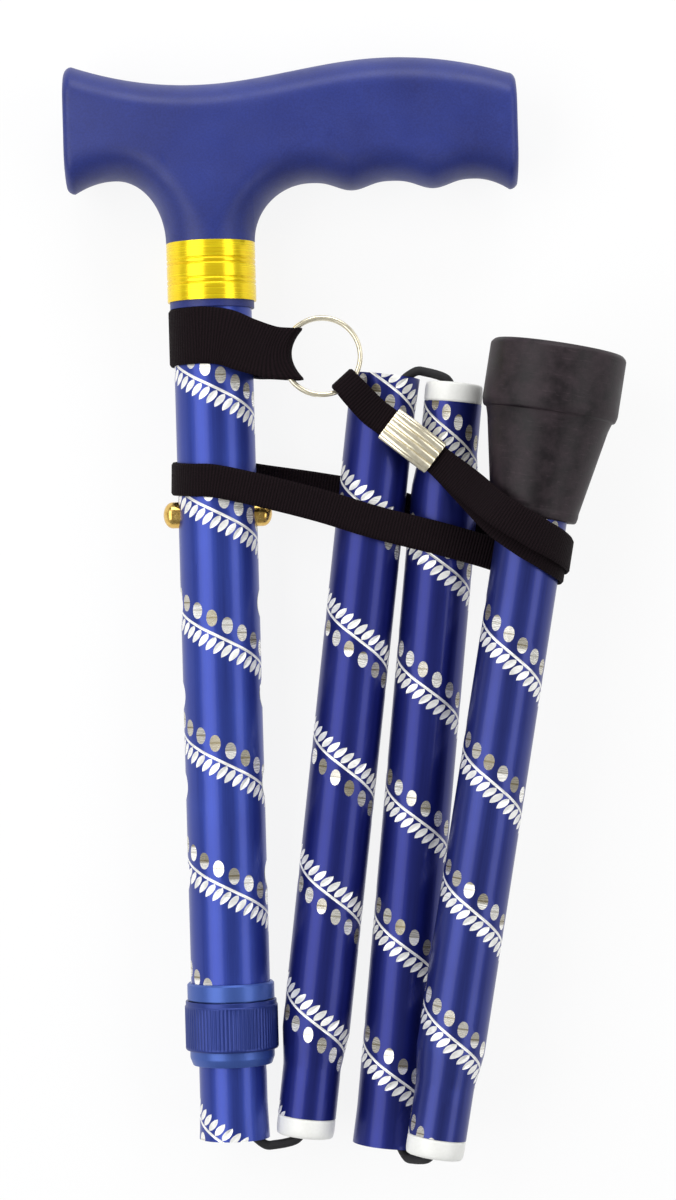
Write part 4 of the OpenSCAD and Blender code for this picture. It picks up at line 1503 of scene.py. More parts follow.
@dataclass
class Tubes:
    """The five tubes: the upper one, the inner one and three folding sections."""

    stands: Mapping[int, Stand]
    bore_r: float = 8.3
    upper_bore_r: float = 9.58
    upper_low: float = 39.9
    upper_high: float = 262.2
    holes: Sequence[float] = (175.5, 150.1, 124.7, 99.3, 73.9)
    inner_l: float = 215.5
    bell_l: float = 10.0
    last_end: float = 216.5
    plug_l: float = 20.0
    taper_l: float = 10.0
    neck_r: float = 8.15
    neck_bore_r: float = 6.95

    def build(self) -> None:
        """Builds each tube with its wall and the phase of its vine."""
        wide, plain = (TUBE_R + BELL, self.bore_r + BELL), (TUBE_R, self.bore_r)
        neck = self.neck_r, self.neck_bore_r
        upper = [(z, UPPER_R, self.upper_bore_r) for z in (self.upper_low, self.upper_high)]
        inner = [(0, *wide), (self.bell_l, *plain), (self.inner_l, *plain)]
        start = [(PLUG_SHOW, *neck), (self.plug_l, *neck), (self.plug_l + self.taper_l, *plain)]
        second = [*start, (SECTION_L - self.bell_l, *plain), (SECTION_L, *wide)]
        third = [(-z, *radii) for z, *radii in second[::-1]]
        fourth = [*start, (self.last_end, *plain)]
        bench = self.stands[1]
        VineTube("vine_upper", bench, "shaft", "upper_tube",
                 Vine(34.95, 16, 105.95, dot_w=3.2, dot_h=4.7), upper, self.holes).build()
        VineTube("vine_inner", bench, "inner_tube", "inner_tube",
                 Vine(35.6, 14, -1.9, Way.DOTS_DOWN), inner, self.holes[:1]).build()
        vine_2 = Vine(36.1, 14, 104.5, Way.DOTS_DOWN, leaf_lean=7, leaf_drop=5.7)
        # The folding sections take darker copies of the tube blue as painted shade, sections 2 and
        # 3 the darkest.
        for number, dye_and_shade, wall, vine in (
                (2, DARK_SHADE_BLUE, second, vine_2),
                (3, DARK_SHADE_BLUE, third, Vine(36.1, 14, -158.7, leaf_lean=7)),
                (4, MILD_SHADE_BLUE, fourth, Vine(35.6, 14, 105.0, leaf_lean=7))):
            VineTube(f"vine_{number}", self.stands[number], f"section_{number}",
                     f"tube_{number}", vine, wall, dye_and_shade=dye_and_shade).build()


# Turned and moulded fittings


@dataclass
class LockCollar:
    """Knurled nut, whose lower end steps in and is bevelled."""

    bench: Stand
    foot: float = 20.8
    bevel_h: float = 4.3
    bevel: float = 0.8
    knurl_h: float = 13.8
    band: float = 1.5
    band_step: float = 0.3
    radius: float = 13.1
    step_r: float = 11.9
    bore: float = 9.9
    barrel: float = 11.08
    floor: float = 23.7
    ridges: int = 76
    ridge: float = 0.16
    rows: int = 6

    def build(self) -> None:
        """Turns the nut, with round ridges that fade out towards its two plain bands."""
        r, knurl, corner_steps = self.radius, self.foot + self.bevel_h, 4
        top = knurl + self.knurl_h
        end = top - self.band
        corners = [
            (self.bore, self.foot), (self.step_r - self.bevel, self.foot),
            (self.step_r, self.foot + self.bevel_h / 2), (self.step_r, knurl),
            (r - 0.25, knurl), (r, knurl + 0.5), (r, knurl + 0.9),
            (r, end), (r - self.band_step, end + 0.25), (r - self.band_step, top),
            (self.barrel, top), (self.barrel, self.floor), (self.bore, self.floor)]
        outline = soft_corners(corners, 0.25, corner_steps)
        spot = corner_steps * corners.index((r, end))
        ridged = cols(r, np.linspace(knurl + 1.2, end - 0.4, self.rows))
        outline = np.vstack([outline[:spot], ridged, outline[spot:]])

        def knurling(angle: np.ndarray, points: np.ndarray) -> np.ndarray:
            """Gives the depth of the valleys between the ridges, on the outside only.

            Args:
                angle: Angle round the nut.
                points: The outline as (radius, height).

            Returns:
                The change of the radius.
            """
            radius, z = points[..., 0], points[..., 1]
            reach = ease((z - knurl - 0.4) / 0.8) * ease((end - z) / 0.6)
            valley = np.abs(np.sin(self.ridges * angle / 2)) ** 1.4
            return -self.ridge * valley * reach * (radius > r - 0.4)

        # Below the knurl the bevelled step takes the lighter blue, painted light.
        step = np.where(outline[:, 1] < knurl, 1, 0)
        skin = revolve(Skin(self.bench), outline, self.ridges * 8, step, knurling)
        nut = finished("knurled_collar", skin, [COLLAR_BLUE, LIT_BAND_BLUE], 35)
        fit(nut, "lock_collar", "collar_blue", "lock_collar")


@dataclass
class EndPlugs:
    """White plugs in the necked ends, with a flared hole for the cord."""

    stands: Mapping[int, Stand]
    radius: float = 8.15
    neck: float = 6.9
    deep: float = 11.0
    hole: float = 2.2
    flare: float = 2.0
    edge: float = 1.6
    edge_in: float = 0.35

    def build(self) -> None:
        """Turns each plug from the same rounded outline."""
        end = PLUG_SHOW + self.deep
        outline = soft_corners([
            (self.hole, self.flare), (self.hole + self.flare, 0), (self.radius - self.edge_in, 0),
            (self.radius, self.edge), (self.radius, PLUG_SHOW), (self.neck, PLUG_SHOW),
            (self.neck, end), (self.hole, end)], 0.9, 6)
        for number, way in WAYS.items():
            skin = revolve(Skin(self.stands[number]), outline * [1, way], 72)
            plug = finished(f"end_plug_{number}", skin, [WHITE], 45)
            fit(plug, f"section_{number}", "white_plastic", f"plug_{number}")


@dataclass
class RubberTip:
    """Rubber ferrule: lip, tapered body, thick rim and rings of tread."""

    stand: Stand
    rim_h: float = 19.0
    rim_r: float = 19.0
    rim_edge: float = 1.2
    body_r: float = 17.5
    mouth_r: float = 12.0
    bore: float = 9.55
    seat: float = 218.0
    tread: float = 1.5
    tread_w: float = 1.6

    def build(self) -> None:
        """Turns the ferrule, with a raised lip at its mouth and grooves in its sole."""
        r, body, lip, end, edge = self.rim_r, self.body_r, self.mouth_r, LAST_L, self.rim_edge
        mouth, rim = end - TIP_H, end - self.rim_h
        rings = [r * (0.22 * i + 0.12) for i in (3, 2, 1)]
        groove = np.array([[0.5, 0], [0.5, -1], [-0.5, -1], [-0.5, 0]])
        groove = groove * [self.tread_w, self.tread]
        grooves = (groove + cols(rings, end)[:, None]).reshape(-1, 2)
        outline = soft_corners([
            (AXIS_R, self.seat), (self.bore, self.seat), (self.bore, mouth), (lip - 0.1, mouth),
            (lip + 0.3, mouth + 1.3), (lip + 0.4, mouth + 2.2), (lip + 0.35, mouth + 2.7),
            (body - 0.6, rim - 2.5), (body, rim - 0.5), (body + 0.2, rim),
            (r - 0.5, rim + 0.2), (r, rim + 2.0), (r, end - edge), (r - edge, end),
            *grooves.tolist(), (AXIS_R, end)], 0.6, 6)
        tip = finished("rubber_tip", revolve(Skin(self.stand), outline, 128), [RUBBER], 50)
        fit(tip, "section_4", "black_rubber", "ferrule")


@dataclass
class SnapButtons:
    """Brass buttons that lock the height, each a domed pin on a foot, and their spring."""

    bench: Stand
    height: float = 175.5
    foot_x: float = 6.76
    foot_t: float = 0.8
    foot_r: float = 4.2
    radius: float = 3.7
    tip: float = 15.3
    dome: float = 2.6
    spring_t: float = 0.8
    spring_w: float = 7.0
    spring_l: float = 26.0
    fit_gap: float = 0.05

    def build(self) -> None:
        """Turns the pin about x; its dome is a quarter ellipse."""
        turn = np.linspace(0, QUARTER, 12)
        dome = cols(self.radius * np.cos(turn), self.tip - self.dome + self.dome * np.sin(turn))
        dome[-1, 0] = AXIS_R
        back = self.foot_x - self.foot_t
        foot = [(AXIS_R, back), (self.foot_r, back), (self.foot_r, self.foot_x),
                (self.radius, self.foot_x)]
        outline = np.vstack([foot, dome])
        lift = Stand(self.bench.place((0, 0, self.height)), self.bench.axes)
        for side, way in (("right", 1), ("left", -1)):
            skin = revolve(Skin(lift), outline * [1, way], 48, axis=0)
            button = finished(f"brass_pin_{side}", skin, [BRASS], 40)
            fit(button, f"button_{side}", "brass_button", f"snap_button_{side}")
            self._spring(side, way)

    def _spring(self, side: str, way: int) -> None:
        """Bends one half of the hairpin spring, a flat strip whose leg its button pushes in.

        Args:
            side: Name of the side.
            way: 1 on the right and -1 on the left.
        """
        leg = self.foot_x - self.foot_t - self.fit_gap - self.spring_t / 2
        turn = np.linspace(0, QUARTER, 24)
        low = self.height - self.radius
        arch = cols(way * leg * np.cos(turn), low + self.spring_l + leg * np.sin(turn))
        path = np.vstack([[(way * leg, low)], arch])
        ahead = headings(path)
        off = cols(-ahead[:, 1], ahead[:, 0])
        t, w = self.spring_t / 2, self.spring_w / 2
        strip = soft_corners([(-t, -w), (t, -w), (t, w), (-t, w)], 0.2)
        strip = np.vstack([strip, strip[:1]])
        flat = path[:, None] + strip[:, :1] * off[:, None]
        points = cols(flat[..., 0], strip[:, 1], flat[..., 1])
        skin = Skin(self.bench).grid(points, points[..., 1:])
        skin.lid(points[0, :-1]).lid(points[-1, :-1])
        half = finished(f"hairpin_{side}", skin, [STEEL], 40)
        fit(half, "inner_tube", "spring_steel", "button_spring")
        anchor = self.bench.place((0, 0, self.height))
        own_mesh(half)


# Elastic cord


@dataclass
class ElasticCord:
    """Braided cord: straight runs in the tubes, bends over the folds, and a knot at each end."""

    stands: Mapping[int, Stand]
    diameter: float = 2.6
    step: float = 0.5
    slack: float = 30.0
    start: float = 6.6
    gap: float = 0.15
    mouth_bore: float = 17.4
    hole: float = 4.4
    anchor_z: float = 146.0
    anchor_l: float = 9.0
    lower_anchor: float = 154.5
    knot_l: float = 7.0
    knot_turns: float = 2.4
    tuck: float = 0.3

    def build(self) -> None:
        """Builds the runs, the knots and the bends."""
        top, low = self.anchor_z + self.anchor_l, self.lower_anchor + self.anchor_l
        far = SECTION_L - self.slack
        self._run("upper", 1, self.slack, top + self.knot_l, "inner_tube")
        self._run("2", 2, self.start, far, "cord_link_2")
        self._run("3", 3, -self.start, -far, "cord_link_3")
        self._run("4", 4, self.start, low + self.knot_l, "cord_link_4")
        self._knot("upper", 1, top, "inner_tube")
        self._knot("lower", 4, low, "section_4")
        for number, body in ((1, "inner_tube"), (2, "section_2"), (3, "section_3")):
            self._bend(number, body)

    def _braid(self, name: str, stand: Stand, path: np.ndarray, normal: Sequence[float],
               sides: int, body: str, node: str) -> bpy.types.Object:
        """Lays braided cord along a path.

        Args:
            name: Name of the piece.
            stand: The stand on which the path is given.
            path: Points of the path.
            normal: Normal of the plane that the path keeps near.
            sides: Number of sides of the cord.
            body: The CAD body that the piece rides on.
            node: The CAD node that it replaces.

        Returns:
            The piece.
        """
        skin = sweep_round(Skin(stand), path, self.diameter / 2, normal, sides, Braid())
        return fit(finished(name, skin, [CORD], 60), body, "black_cord", node)

    def _run(self, name: str, number: int, start: float, end: float, body: str) -> None:
        """Lays a straight run on the axis of a section.

        Args:
            name: End of the piece's and the node's name.
            number: Which section.
            start: Where the run starts on the section's axis.
            end: Where it ends.
            body: The CAD body that it rides on.
        """
        height = np.linspace(start, end, int(abs(end - start) / self.step))
        self._braid(f"cord_run_{name}", self.stands[number], cols(0, 0, height), (0, 1, 0), 32,
                    body, f"cord_{name}")

    def _knot(self, name: str, number: int, foot: float, body: str) -> None:
        """Winds the end of the cord nearly two turns and a half round itself, and tucks it in.

        Args:
            name: Which knot.
            number: Which section.
            foot: Height of the anchor's top on the section's axis.
            body: The CAD body that it rides on.
        """
        turn = np.linspace(0, self.knot_turns, 120)
        tucked = ease((turn - (self.knot_turns - self.tuck)) / self.tuck)
        reach = self.diameter * (1.04 - 0.16 * tucked)
        rise = (self.knot_l - self.diameter - 0.2) * turn / self.knot_turns
        path = turned(reach, TURN * turn, foot + self.diameter / 2 + 0.1 + rise)
        self._braid(f"cord_knot_{name}_wound", self.stands[number], path, (0, 0, 1), 24,
                    body, f"cord_knot_{name}")

    def _bend(self, number: int, body: str) -> None:
        """Bends the cord out of one section's open end, over its edge and into the next plug.

        Args:
            number: The section that the cord leaves.
            body: The CAD body that the bend rides on.
        """
        bench, following = self.stands[1], self.stands[number + 1]
        rim, into = np.zeros(3), np.array([0.0, 0.0, 1.0])
        if number > 1:
            stand, way = self.stands[number], WAYS[number]
            rim = bench.local(stand.place((0, 0, way * SECTION_L)))
            into = -way * stand.axes[2] @ bench.axes.T
        tip = bench.local(following.origin)
        ahead = WAYS[number + 1] * following.axes[2] @ bench.axes.T
        side = unit(tip - rim - ((tip - rim) @ into) * into)
        over, bore = self.diameter / 2 + AIR, self.mouth_bore / 2
        route = np.array([
            rim + into * (self.slack - self.gap), rim + into * (self.slack - 6), rim + into * 12,
            rim + into * 3 + side * (bore - 2 * self.diameter),
            rim - into * (over + 0.2) + side * (bore - 0.7),
            rim - into * (over + 0.6) + side * (bore + 2.8),
            tip - into * 1.2 - side * (self.hole / 2 + 0.6), tip + ahead * 1.2 - side * 0.9,
            tip + ahead * 4.4, tip + ahead * (self.start - self.gap)])
        bend = self._braid(f"cord_over_fold_{number}", bench, smooth_route(route, 14),
                           unit(np.cross(side, into)), 32, body, f"cord_bend_{number}")
        tuple(side @ bench.axes)
        tuple(bench.place(rim))
        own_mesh(bend)


# Wrist strap


@dataclass
class WristStrap:
    """Ribbed strap: a tab round the tube, a split ring, a crimped clip and a long loop."""

    stands: Mapping[int, Stand]
    thick: float = 0.9
    tab_w: float = 15.9
    tab_ring_w: float = 14.4
    tab_lift: float = 0.8
    slide_from: float = -1.0
    width: float = 9.2
    split_r: float = 10.7
    split_right: float = 10.8
    split_drop: float = 15.0
    split_cross: float = 1 / 12
    wire: float = 1.4
    split_gap: float = 0.45
    clip_l: float = 16.4
    clip_w: float = 10.2
    clip_t: float = 4.8
    clip_r: float = 0.9
    clip_wall: float = 0.5
    clip_edge: float = 0.25
    clip_right: float = 24.5
    clip_drop: float = 24.2
    flute: float = 1.0
    flutes: int = 4
    clip_slope: float = 38.8
    ring_slope: float = 49.0

    def __post_init__(self) -> None:
        """Works out the places that the strap passes."""
        bench = self.stands[1]
        ups = {number: self.stands[number].axes[2] @ bench.axes.T for number in WAYS}
        self.ends = {number: bench.local(self.stands[number].origin) for number in WAYS}
        self.fans = {number: math.atan2(up[0], up[2]) for number, up in ups.items()}
        self.pitch = self.wire + self.split_gap
        self.split_half = self.pitch / 2 + self.wire / 2 + AIR + self.thick / 2
        self.split = np.array([self.ends[2][0] + self.split_right,
                               -(TUBE_R + BELL + self.split_half + AIR), STEM_Z - self.split_drop])
        self.clip = np.array([self.split[0] + self.clip_right,
                              -(TUBE_R + AIR + self.clip_t / 2), self.split[2] - self.clip_drop])
        self.past = self.clip_l / 2 + 1.3
        self.strap_z = self.ends[4][2] + (LAST_L - TIP_H) * math.cos(self.fans[4])

    def build(self) -> None:
        """Builds the tab, the ring, the clip and the loop."""
        self._tab()
        self._ring()
        self._clip()
        self._loop()

    def _ribbon(self, name: str, route: np.ndarray, steps: int,
                columns: int) -> tuple[bpy.types.Object, float]:
        """Carries a flat cross-section with rounded edges along a looped route.

        The width of the ribbon lies along its lean, made square to the heading, and its faces
        stand half its thickness off that line. A bow moves its edges along x.

        Args:
            name: Name of the piece.
            route: Points of (x, y, z, lean in degrees, width, bow).
            steps: Number of steps between points.
            columns: Number of columns across each face.

        Returns:
            The piece, and the length of its middle line in millimetres.
        """
        path = smooth_route(route, steps, looped=True)
        spots, lean = path[:, :3], np.radians(path[:, 3])
        mean_half = path[:, 4].mean() / 2
        ahead = headings(spots, looped=True)
        up = cols(np.sin(lean), 0, np.cos(lean))
        across = unit(up - (up * ahead).sum(-1, keepdims=True) * ahead)
        off = unit(np.cross(ahead, across))
        s = np.linspace(1, -1, columns + 1)
        edge = np.clip((1 - np.abs(s)) * mean_half / (self.thick / 2), 0, 1)
        half = self.thick / 2 * np.sqrt(1 - (1 - edge) ** 2)
        s = np.concatenate([s, s[-2:0:-1], s[:1]])
        half = np.concatenate([half, -half[-2:0:-1], half[:1]])
        sway = cols(path[:, 5], 0, 0)
        points = (spots[:, None] + (s * path[:, 4:5] / 2)[..., None] * across[:, None]
                  + (s**2)[:, None] * sway[:, None] + half[:, None] * off[:, None])
        points = np.concatenate([points, points[:1]])
        along = travel(np.vstack([spots, spots[:1]]))
        skin = Skin(self.stands[1]).grid(points, cols(s * mean_half, along[:, None]))
        return finished(name, skin, [WEB], 60), float(along[-1])

    def _tab(self) -> None:
        """Wraps the wide tab round the upper tube and folds it round the split ring.

        On its way to the ring the tab slides down and narrows with the same eased share of x
        in front and behind, so that its two plies lie on each other.
        """
        half, r, y = self.split_half, self.split_r, self.split[1]
        radius = UPPER_R + AIR + self.thick / 2
        height = STEM_Z - self.tab_w / 2 - AIR / 4
        low = self.split[2] + self.tab_lift
        fold = self.split[0] - r + self.wire / 2 + 2 * AIR + self.thick / 2
        bow = r - math.sqrt(r**2 - (self.tab_ring_w / 2 + self.tab_lift) ** 2)
        mid = fold - half
        leave = mid - 2 * half + 1
        front, back = np.array([leave, y - half]), np.array([leave, y + half])
        first = math.atan2(back[1], back[0]) + math.acos(radius / np.linalg.norm(back))
        last = TURN + math.atan2(front[1], front[0]) - math.acos(radius / np.linalg.norm(front))
        angle = np.linspace(first, last, 15)
        turn = np.radians(np.arange(-90, 91, 45))
        wrap = radius * cols(np.cos(angle), np.sin(angle))
        ring = np.array([mid, y]) + half * cols(np.cos(turn), np.sin(turn))
        spots = np.vstack([wrap, mix(wrap[-1], front, 1 / 3), mix(wrap[-1], front, 2 / 3), front,
                           ring, back, mix(back, wrap[0], 1 / 2)])
        share = ease((spots[:, 0] - self.slide_from) / (mid - self.slide_from))
        sway = bow * ease((spots[:, 0] - leave + half) / (mid - leave + half))
        route = cols(*spots.T, mix(height, low, share), 0,
                     mix(self.tab_w, self.tab_ring_w, share), sway)
        tab, length = self._ribbon("webbing_tab", route, 6, 24)
        fit(tab, "shaft", "black_webbing", "strap_tab")
        self.tab_w * MM

    def _ring(self) -> None:
        """Winds the split ring: two flat turns of wire with a short crossing between them."""
        cross = self.split_cross
        turn = cross + np.arange(0, 177) / 96
        angle = TURN * turn - math.radians(70)
        rise = ease((turn - 1 + cross) / (2 * cross))
        path = self.split + cols(self.split_r * np.cos(angle), self.pitch * (rise - 0.5),
                                 self.split_r * np.sin(angle))
        skin = sweep_round(Skin(self.stands[1]), path, self.wire / 2, (0, 1, 0), 16)
        fit(finished("wire_ring", skin, [NICKEL], 50), "shaft", "pale_nickel", "split_ring")

    def _clip(self) -> None:
        """Carries the clip's cross-section, a loop with a row of flutes in front, along the strap.

        The front stands out by half the flute times the square root of a sine's size.
        """
        slope = math.radians(self.clip_slope)
        ahead = np.array([math.cos(slope), 0, -math.sin(slope)])
        wide = np.array([math.sin(slope), 0, math.cos(slope)])
        w, d, r = self.clip_w / 2, (self.clip_t - self.flute) / 2, self.clip_r
        turn = np.linspace(0, QUARTER, 7)[:-1]

        def corner(right: int, back: int, start: float) -> np.ndarray:
            """Gives a quarter circle round one corner."""
            angle = turn + start
            return cols(right * (w - r) + r * np.cos(angle), back * (d - r) + r * np.sin(angle))

        x = np.linspace(-(w - r), w - r, 16 * self.flutes + 1)
        wave = np.sin(self.flutes * QUARTER * (x + w - r) / (w - r))
        front = cols(x, -d - 0.5 * self.flute * np.abs(wave) ** 0.5)
        outer = np.vstack([corner(1, 1, 0), corner(-1, 1, QUARTER), corner(-1, -1, math.pi),
                           front, corner(1, -1, -QUARTER)[1:]])
        room = np.array([w, d]) - self.clip_wall
        inner = np.clip(outer, -room, room)
        end, edge = self.clip_l / 2, self.clip_edge
        along = np.array([-end, -end, edge - end, end - edge, end, end, -end])[:, None, None]
        outside = np.array([0, 1, 1, 1, 1, 0, 0])[:, None, None]
        soft = np.array([0, edge, 0, 0, edge, 0, 0])[:, None, None]
        profile = mix(inner, outer * (1 - soft / w), outside)
        profile = np.concatenate([profile, profile[:, :1]], 1)
        points = (self.clip + profile[..., :1] * wide + profile[..., 1:] * np.array([0, 1, 0])
                  + along * ahead)
        chart = cols(np.arange(profile.shape[1]) * 0.3, along[..., 0])
        skin = Skin(self.stands[1]).grid(points, chart)
        fit(finished("crimped_clip", skin, [NICKEL], 40), "shaft", "pale_nickel", "strap_clip")

    def _down(self, start: np.ndarray, degrees: float, s: float, y: float,
              width: float) -> list[float]:
        """Gives a route point at a way s down a slope."""
        a = math.radians(degrees)
        return [start[0] + s * math.cos(a), y, start[2] - s * math.sin(a), degrees, width, 0]

    def _on_line(self, s: float, y: float, width: float) -> list[float]:
        """Gives a route point on the line through the clip."""
        return self._down(self.clip, self.clip_slope, s, y, width)

    def _on_ring(self, s: float, y: float, width: float) -> list[float]:
        """Gives a route point on the line from the middle of the split ring down the strap."""
        return self._down(self.split, self.ring_slope, s, y, width)

    def _beside(self, number: int, dx: float, y: float, up: float, lean: float) -> list[float]:
        """Gives a route point beside a section's axis, at a height over the ferrule's mouth.

        Args:
            number: Which section.
            dx: Way to the right of its axis.
            y: Depth of the point.
            up: Height over the ferrule's mouth.
            lean: Lean of the ribbon in degrees.

        Returns:
            The point as in a ribbon's route.
        """
        end, z = self.ends[number], self.strap_z + up
        x = end[0] + (z - end[2]) * math.tan(self.fans[number]) + dx
        return [x, y, z, lean, self.width, 0]

    def _about(self, degrees: float, up: float, r: float) -> list[float]:
        """Gives a route point round the fourth section, whose front is at -90 degrees.

        Args:
            degrees: Angle round the section.
            up: Height over the ferrule's mouth.
            r: Distance from the section's axis.

        Returns:
            The point as in a ribbon's route.
        """
        a = math.radians(degrees)
        return self._beside(4, r * math.cos(a), self.ends[4][1] + r * math.sin(a), up,
                            math.degrees(self.fans[4]))

    def _on_way(self, t: float, y: float, drop: float) -> list[float]:
        """Gives a route point on the way from the clip to the front of the fourth section."""
        a, b = self._on_line(self.past, 0, 0), self._about(-90, -3.9, 0)
        return [mix(a[0], b[0], t), y, mix(a[2], b[2], t) - drop, self.clip_slope, self.width, 0]

    def _loop(self) -> None:
        """Lays the loop through the clip, round all four sections and back."""
        bench, w, z = self.stands[1], self.width, self.strap_z
        clip_in = self.clip_w - 2 * self.clip_wall - 2 * AIR
        past, y, ply = self.past, self.clip[1], self.thick / 2 + 0.12
        inner = TUBE_R + 2 * AIR + self.thick / 2
        outer = inner + self.thick + AIR
        upper = UPPER_R + 2 * AIR + self.thick / 2
        half, sy, y4 = self.split_half, self.split[1], self.ends[4][1]
        first = [self._on_ring(self.split_r - half * math.cos(a), sy + half * math.sin(a), 7.6)
                 for a in np.radians(np.arange(90, -91, -45))]
        out = [(-90, -3.9, outer + 1.8), (-55, -7.7, outer + 0.6), (-20, -10.3, outer),
               (15, -11.3, outer), (50, -10.9, outer), (85, -9.3, outer)]
        behind = [(3, 14.4, 2.5, -4.8, 6), (3, 5, inner - 1.7, -1.3, 6),
                  (3, -3.3, inner + 0.3, 1.7, 6), (2, -0.6, inner + 0.3, 7.7, 6),
                  (2, -15, inner, 10.7, 6)]
        round_1 = [[upper * math.cos(a), upper * math.sin(a),
                    z + 15.7 - 0.016 * (math.degrees(a) - 90), 2, w, 0]
                   for a in np.radians(np.arange(90, 271, 30))]
        before = [(2, -14.2, -inner - 0.3, 5.2, -10), (2, 1.4, -inner - 0.3, 0.2, -8),
                  (3, -2.6, -inner - 0.3, -4.3, -8), (3, 5.7, -inner + 0.4, -6.7, -8),
                  (3, 14, y4 + 6.4, -9.3, -8)]
        home = [(105, -12.3, inner), (70, -13.5, inner), (35, -14.1, inner), (0, -13.9, inner),
                (-35, -12.5, inner), (-70, -9.5, inner), (-100, -6.3, inner + 1)]
        route = [
            *first,
            self._on_ring(self.split_r + 3, sy - half, 8),
            self._on_line(-past - 4.5, y - ply - 0.8, clip_in),
            *(self._on_line(s, y - ply, clip_in) for s in (-past, 0, past)),
            self._on_way(0.31, y4 - 3.2, 0.6), self._on_way(0.62, y4 - 13.2, 1.6),
            *(self._about(*spot) for spot in out),
            *(self._beside(*spot) for spot in behind),
            [UPPER_R + 2.9, upper - 0.6, z + 13.3, 6, w, 0],
            *round_1,
            [UPPER_R + 1.9, -upper, z + 9.7, -8, w, 0],
            *(self._beside(*spot) for spot in before),
            *(self._about(*spot) for spot in home),
            self._on_way(0.6, y4 - 11.2, 4.7), self._on_way(0.29, y4 - 1.4, 1.8),
            *(self._on_line(s, y + ply, clip_in) for s in (past, 0, -past)),
            self._on_line(-past - 4.5, y + ply + 0.4, clip_in),
            self._on_ring(self.split_r + 3, sy + half, 8),
        ]
        loop, length = self._ribbon("webbing_loop", np.array(route), 7, 14)
        fit(loop, "shaft", "black_webbing", "wrist_loop")
        w * length * MM * MM
        anchor = bench.place((0, -upper - 1.5, 180.0))
        tuple(-bench.axes[1])
        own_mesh(loop)


# Studio


@dataclass(frozen=True)
class Softbox:
    """A rectangular light, in metres and watts."""

    name: str
    place: tuple[float, float, float]
    width: float
    length: float
    power: float

    def hang(self, aim: np.ndarray) -> None:
        """Hangs the light at its place, turned to a point.

        Args:
            aim: The point.
        """
        data = bpy.data.lights.new(self.name, "AREA")
        data.shape, data.energy = "RECTANGLE", self.power
        data.size, data.size_y = self.width, self.length
        back = -unit(aim - np.array(self.place))
        right = unit(np.cross([0.0, 1.0, 0.0], back))
        turn = np.eye(4)
        turn[:3] = np.stack([right, np.cross(back, right), back, self.place], 1)
        in_scene(self.name, data).matrix_world = Matrix(turn.tolist())


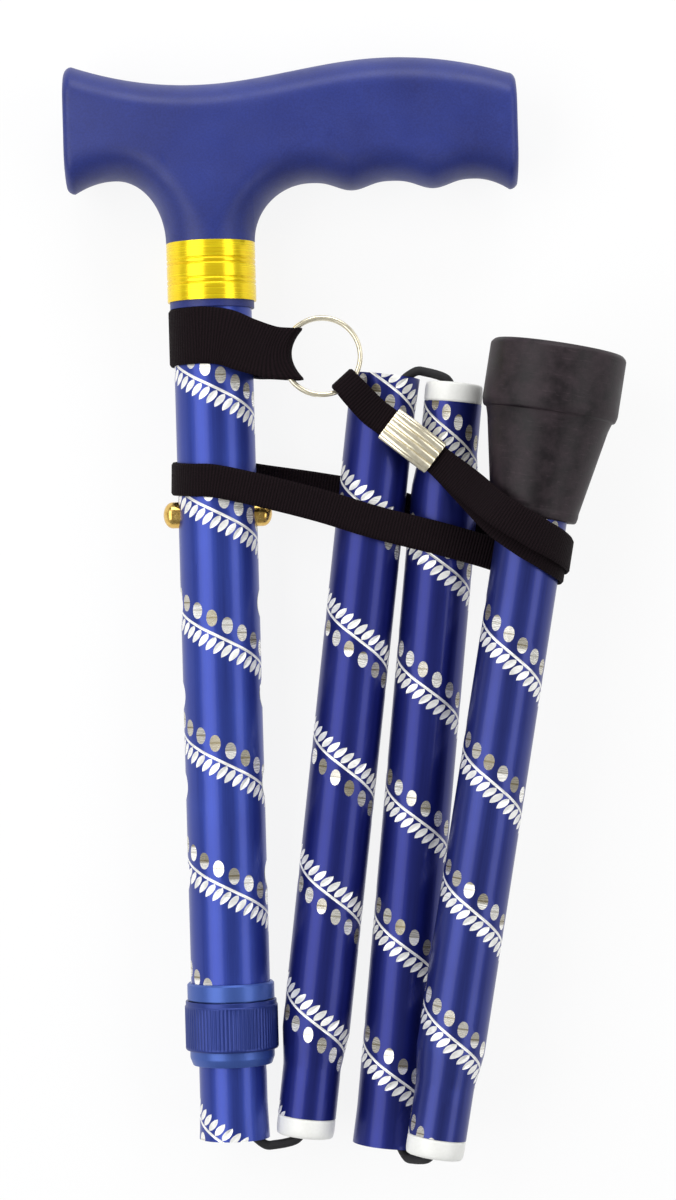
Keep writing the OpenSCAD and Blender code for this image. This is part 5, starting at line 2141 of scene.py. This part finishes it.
@dataclass
class Studio:
    """Camera over the cane, soft lights on both sides and a white floor."""

    bench: Stand
    centre: tuple[float, float] = (33.16, 150.4)
    distance: float = 1.0
    view_h: float = 0.33803
    roll: float = -1.575
    sensor: float = 24.0
    floor_half: float = 60.0
    floor_glow: float = 0.88
    room: float = 0.28
    white: float = 0.93
    horizon: float = 0.15
    aim: tuple[float, float, float] = (0.0, 0.0, 0.015)
    lights: Sequence[Softbox] = (
        Softbox("left_softbox", (-0.62, 0.05, 0.72), 0.7, 1.4, 7.8),
        Softbox("right_softbox", (0.72, -0.02, 0.66), 0.4, 1.3, 4.0),
        Softbox("head_softbox", (0.1, 1.0, 0.45), 0.9, 0.5, 6.5))

    def build(self) -> None:
        """Builds the camera, the floor, the lights and the world."""
        bpy.context.scene.view_settings.view_transform = "Standard"
        self._camera()
        self._floor()
        for light in self.lights:
            light.hang(np.array(self.aim))
        self._world()

    def _camera(self) -> None:
        """Looks straight down, with the frame's height given by the view at the tubes' axes."""
        spot = self.bench.place((self.centre[0], 0, self.centre[1]))
        data = bpy.data.cameras.new("photo_view")
        data.sensor_fit, data.sensor_height = "VERTICAL", self.sensor
        data.lens = self.sensor * self.distance / self.view_h
        camera = in_scene("photo_view", data)
        camera.location = (spot[0], spot[1], spot[2] + self.distance)
        camera.rotation_euler = (0, 0, math.radians(self.roll))
        bpy.context.scene.camera = camera

    def _seen(self, graph: Graph, mirrors: Any = 1.0) -> Wire:
        """Gives 1 to what the camera sees, also through glass, and a share to mirrors.

        Args:
            graph: The tree to add to.
            mirrors: The share that mirrors get.

        Returns:
            The mask.
        """
        path = graph.node("ShaderNodeLightPath", output="Is Camera Ray")
        mirror = path.output("Is Glossy Ray") * mirrors
        return path.at_least(mirror).at_least(path.output("Is Transmission Ray"))

    def _floor(self) -> None:
        """Lays a white floor, which the camera and mirrors see as nearly white and shaded."""
        material = bpy.data.materials.new("white_floor")
        graph = Graph(material)
        paint = graph.node("ShaderNodeBsdfDiffuse", None, {"Color": (0.9, 0.9, 0.9, 1)})
        glow = graph.node("ShaderNodeEmission", None, {"Color": (1, 1, 1, 1), "Strength": 1.0})
        blend = graph.node("ShaderNodeMixShader", None,
                           {0: self._seen(graph) * self.floor_glow, 1: paint, 2: glow})
        graph.node("ShaderNodeOutputMaterial", None, {"Surface": blend})
        mesh = bpy.data.meshes.new("white_floor")
        h = self.floor_half
        mesh.from_pydata([(-h, -h, 0), (h, -h, 0), (h, h, 0), (-h, h, 0)], [], [(0, 1, 2, 3)])
        mesh.materials.append(material)
        in_scene("white_floor", mesh)

    def _world(self) -> None:
        """Fills the room with pale grey, which is white to the camera, and to mirrors low down."""
        world = bpy.data.worlds.new("pale_room")
        graph = Graph(world)
        way = graph.node("ShaderNodeTexCoord", output="Generated")
        up = graph.node("ShaderNodeSeparateXYZ", None, {0: way}, "Z")
        seen = self._seen(graph, graph.spread(up, 1.0, 0.0, 0.0, self.horizon))
        room = graph.node("ShaderNodeBackground", None,
                          {"Color": (0.95, 0.97, 1, 1), "Strength": self.room})
        white = graph.node("ShaderNodeBackground", None,
                           {"Color": (1, 1, 1, 1), "Strength": self.white})
        blend = graph.node("ShaderNodeMixShader", None, {0: seen, 1: room, 2: white})
        graph.node("ShaderNodeOutputWorld", None, {"Surface": blend})
        bpy.context.scene.world = world


@dataclass
class KeptNodes:
    """CAD nodes whose solids are right as they are, and only need a finish."""

    # The collet bush's band takes the lighter collar blue, painted light.
    finishes: Mapping[str, Finish] = field(default_factory=lambda: {
        "collet_bush": LIT_BAND_BLUE, "cord_anchor_upper": WHITE,
        "cord_anchor_lower": WHITE, "ferrule_washer": STEEL})

    def build(self) -> None:
        """Gives each kept node its material."""
        for name, finish in self.finishes.items():
            mesh = frame["nodes"][name].data
            mesh.materials.clear()
            mesh.materials.append(finish.material())
            log.info("%s: kept with the finish %s", name, finish.name)


def main() -> None:
    """Builds the studio and every piece of the cane."""
    logging.basicConfig(level=logging.INFO, format="%(name)s %(message)s")
    bench = stand_on("height", "upper_tube", "inner_tube")
    stands = {1: bench}
    for number, way in WAYS.items():
        stands[number] = stand_on(f"seat_{number - 1}", f"cord_{number}", f"plug_{number}", way)
    Studio(bench).build()
    WristStrap(stands).build()
    ElasticCord(stands).build()
    Handle(bench).build()
    CollarRing(bench).build()
    Tubes(stands).build()
    LockCollar(bench).build()
    SnapButtons(bench).build()
    EndPlugs(stands).build()
    RubberTip(stands[4]).build()
    KeptNodes().build()


if __name__ == "__main__":
    main()
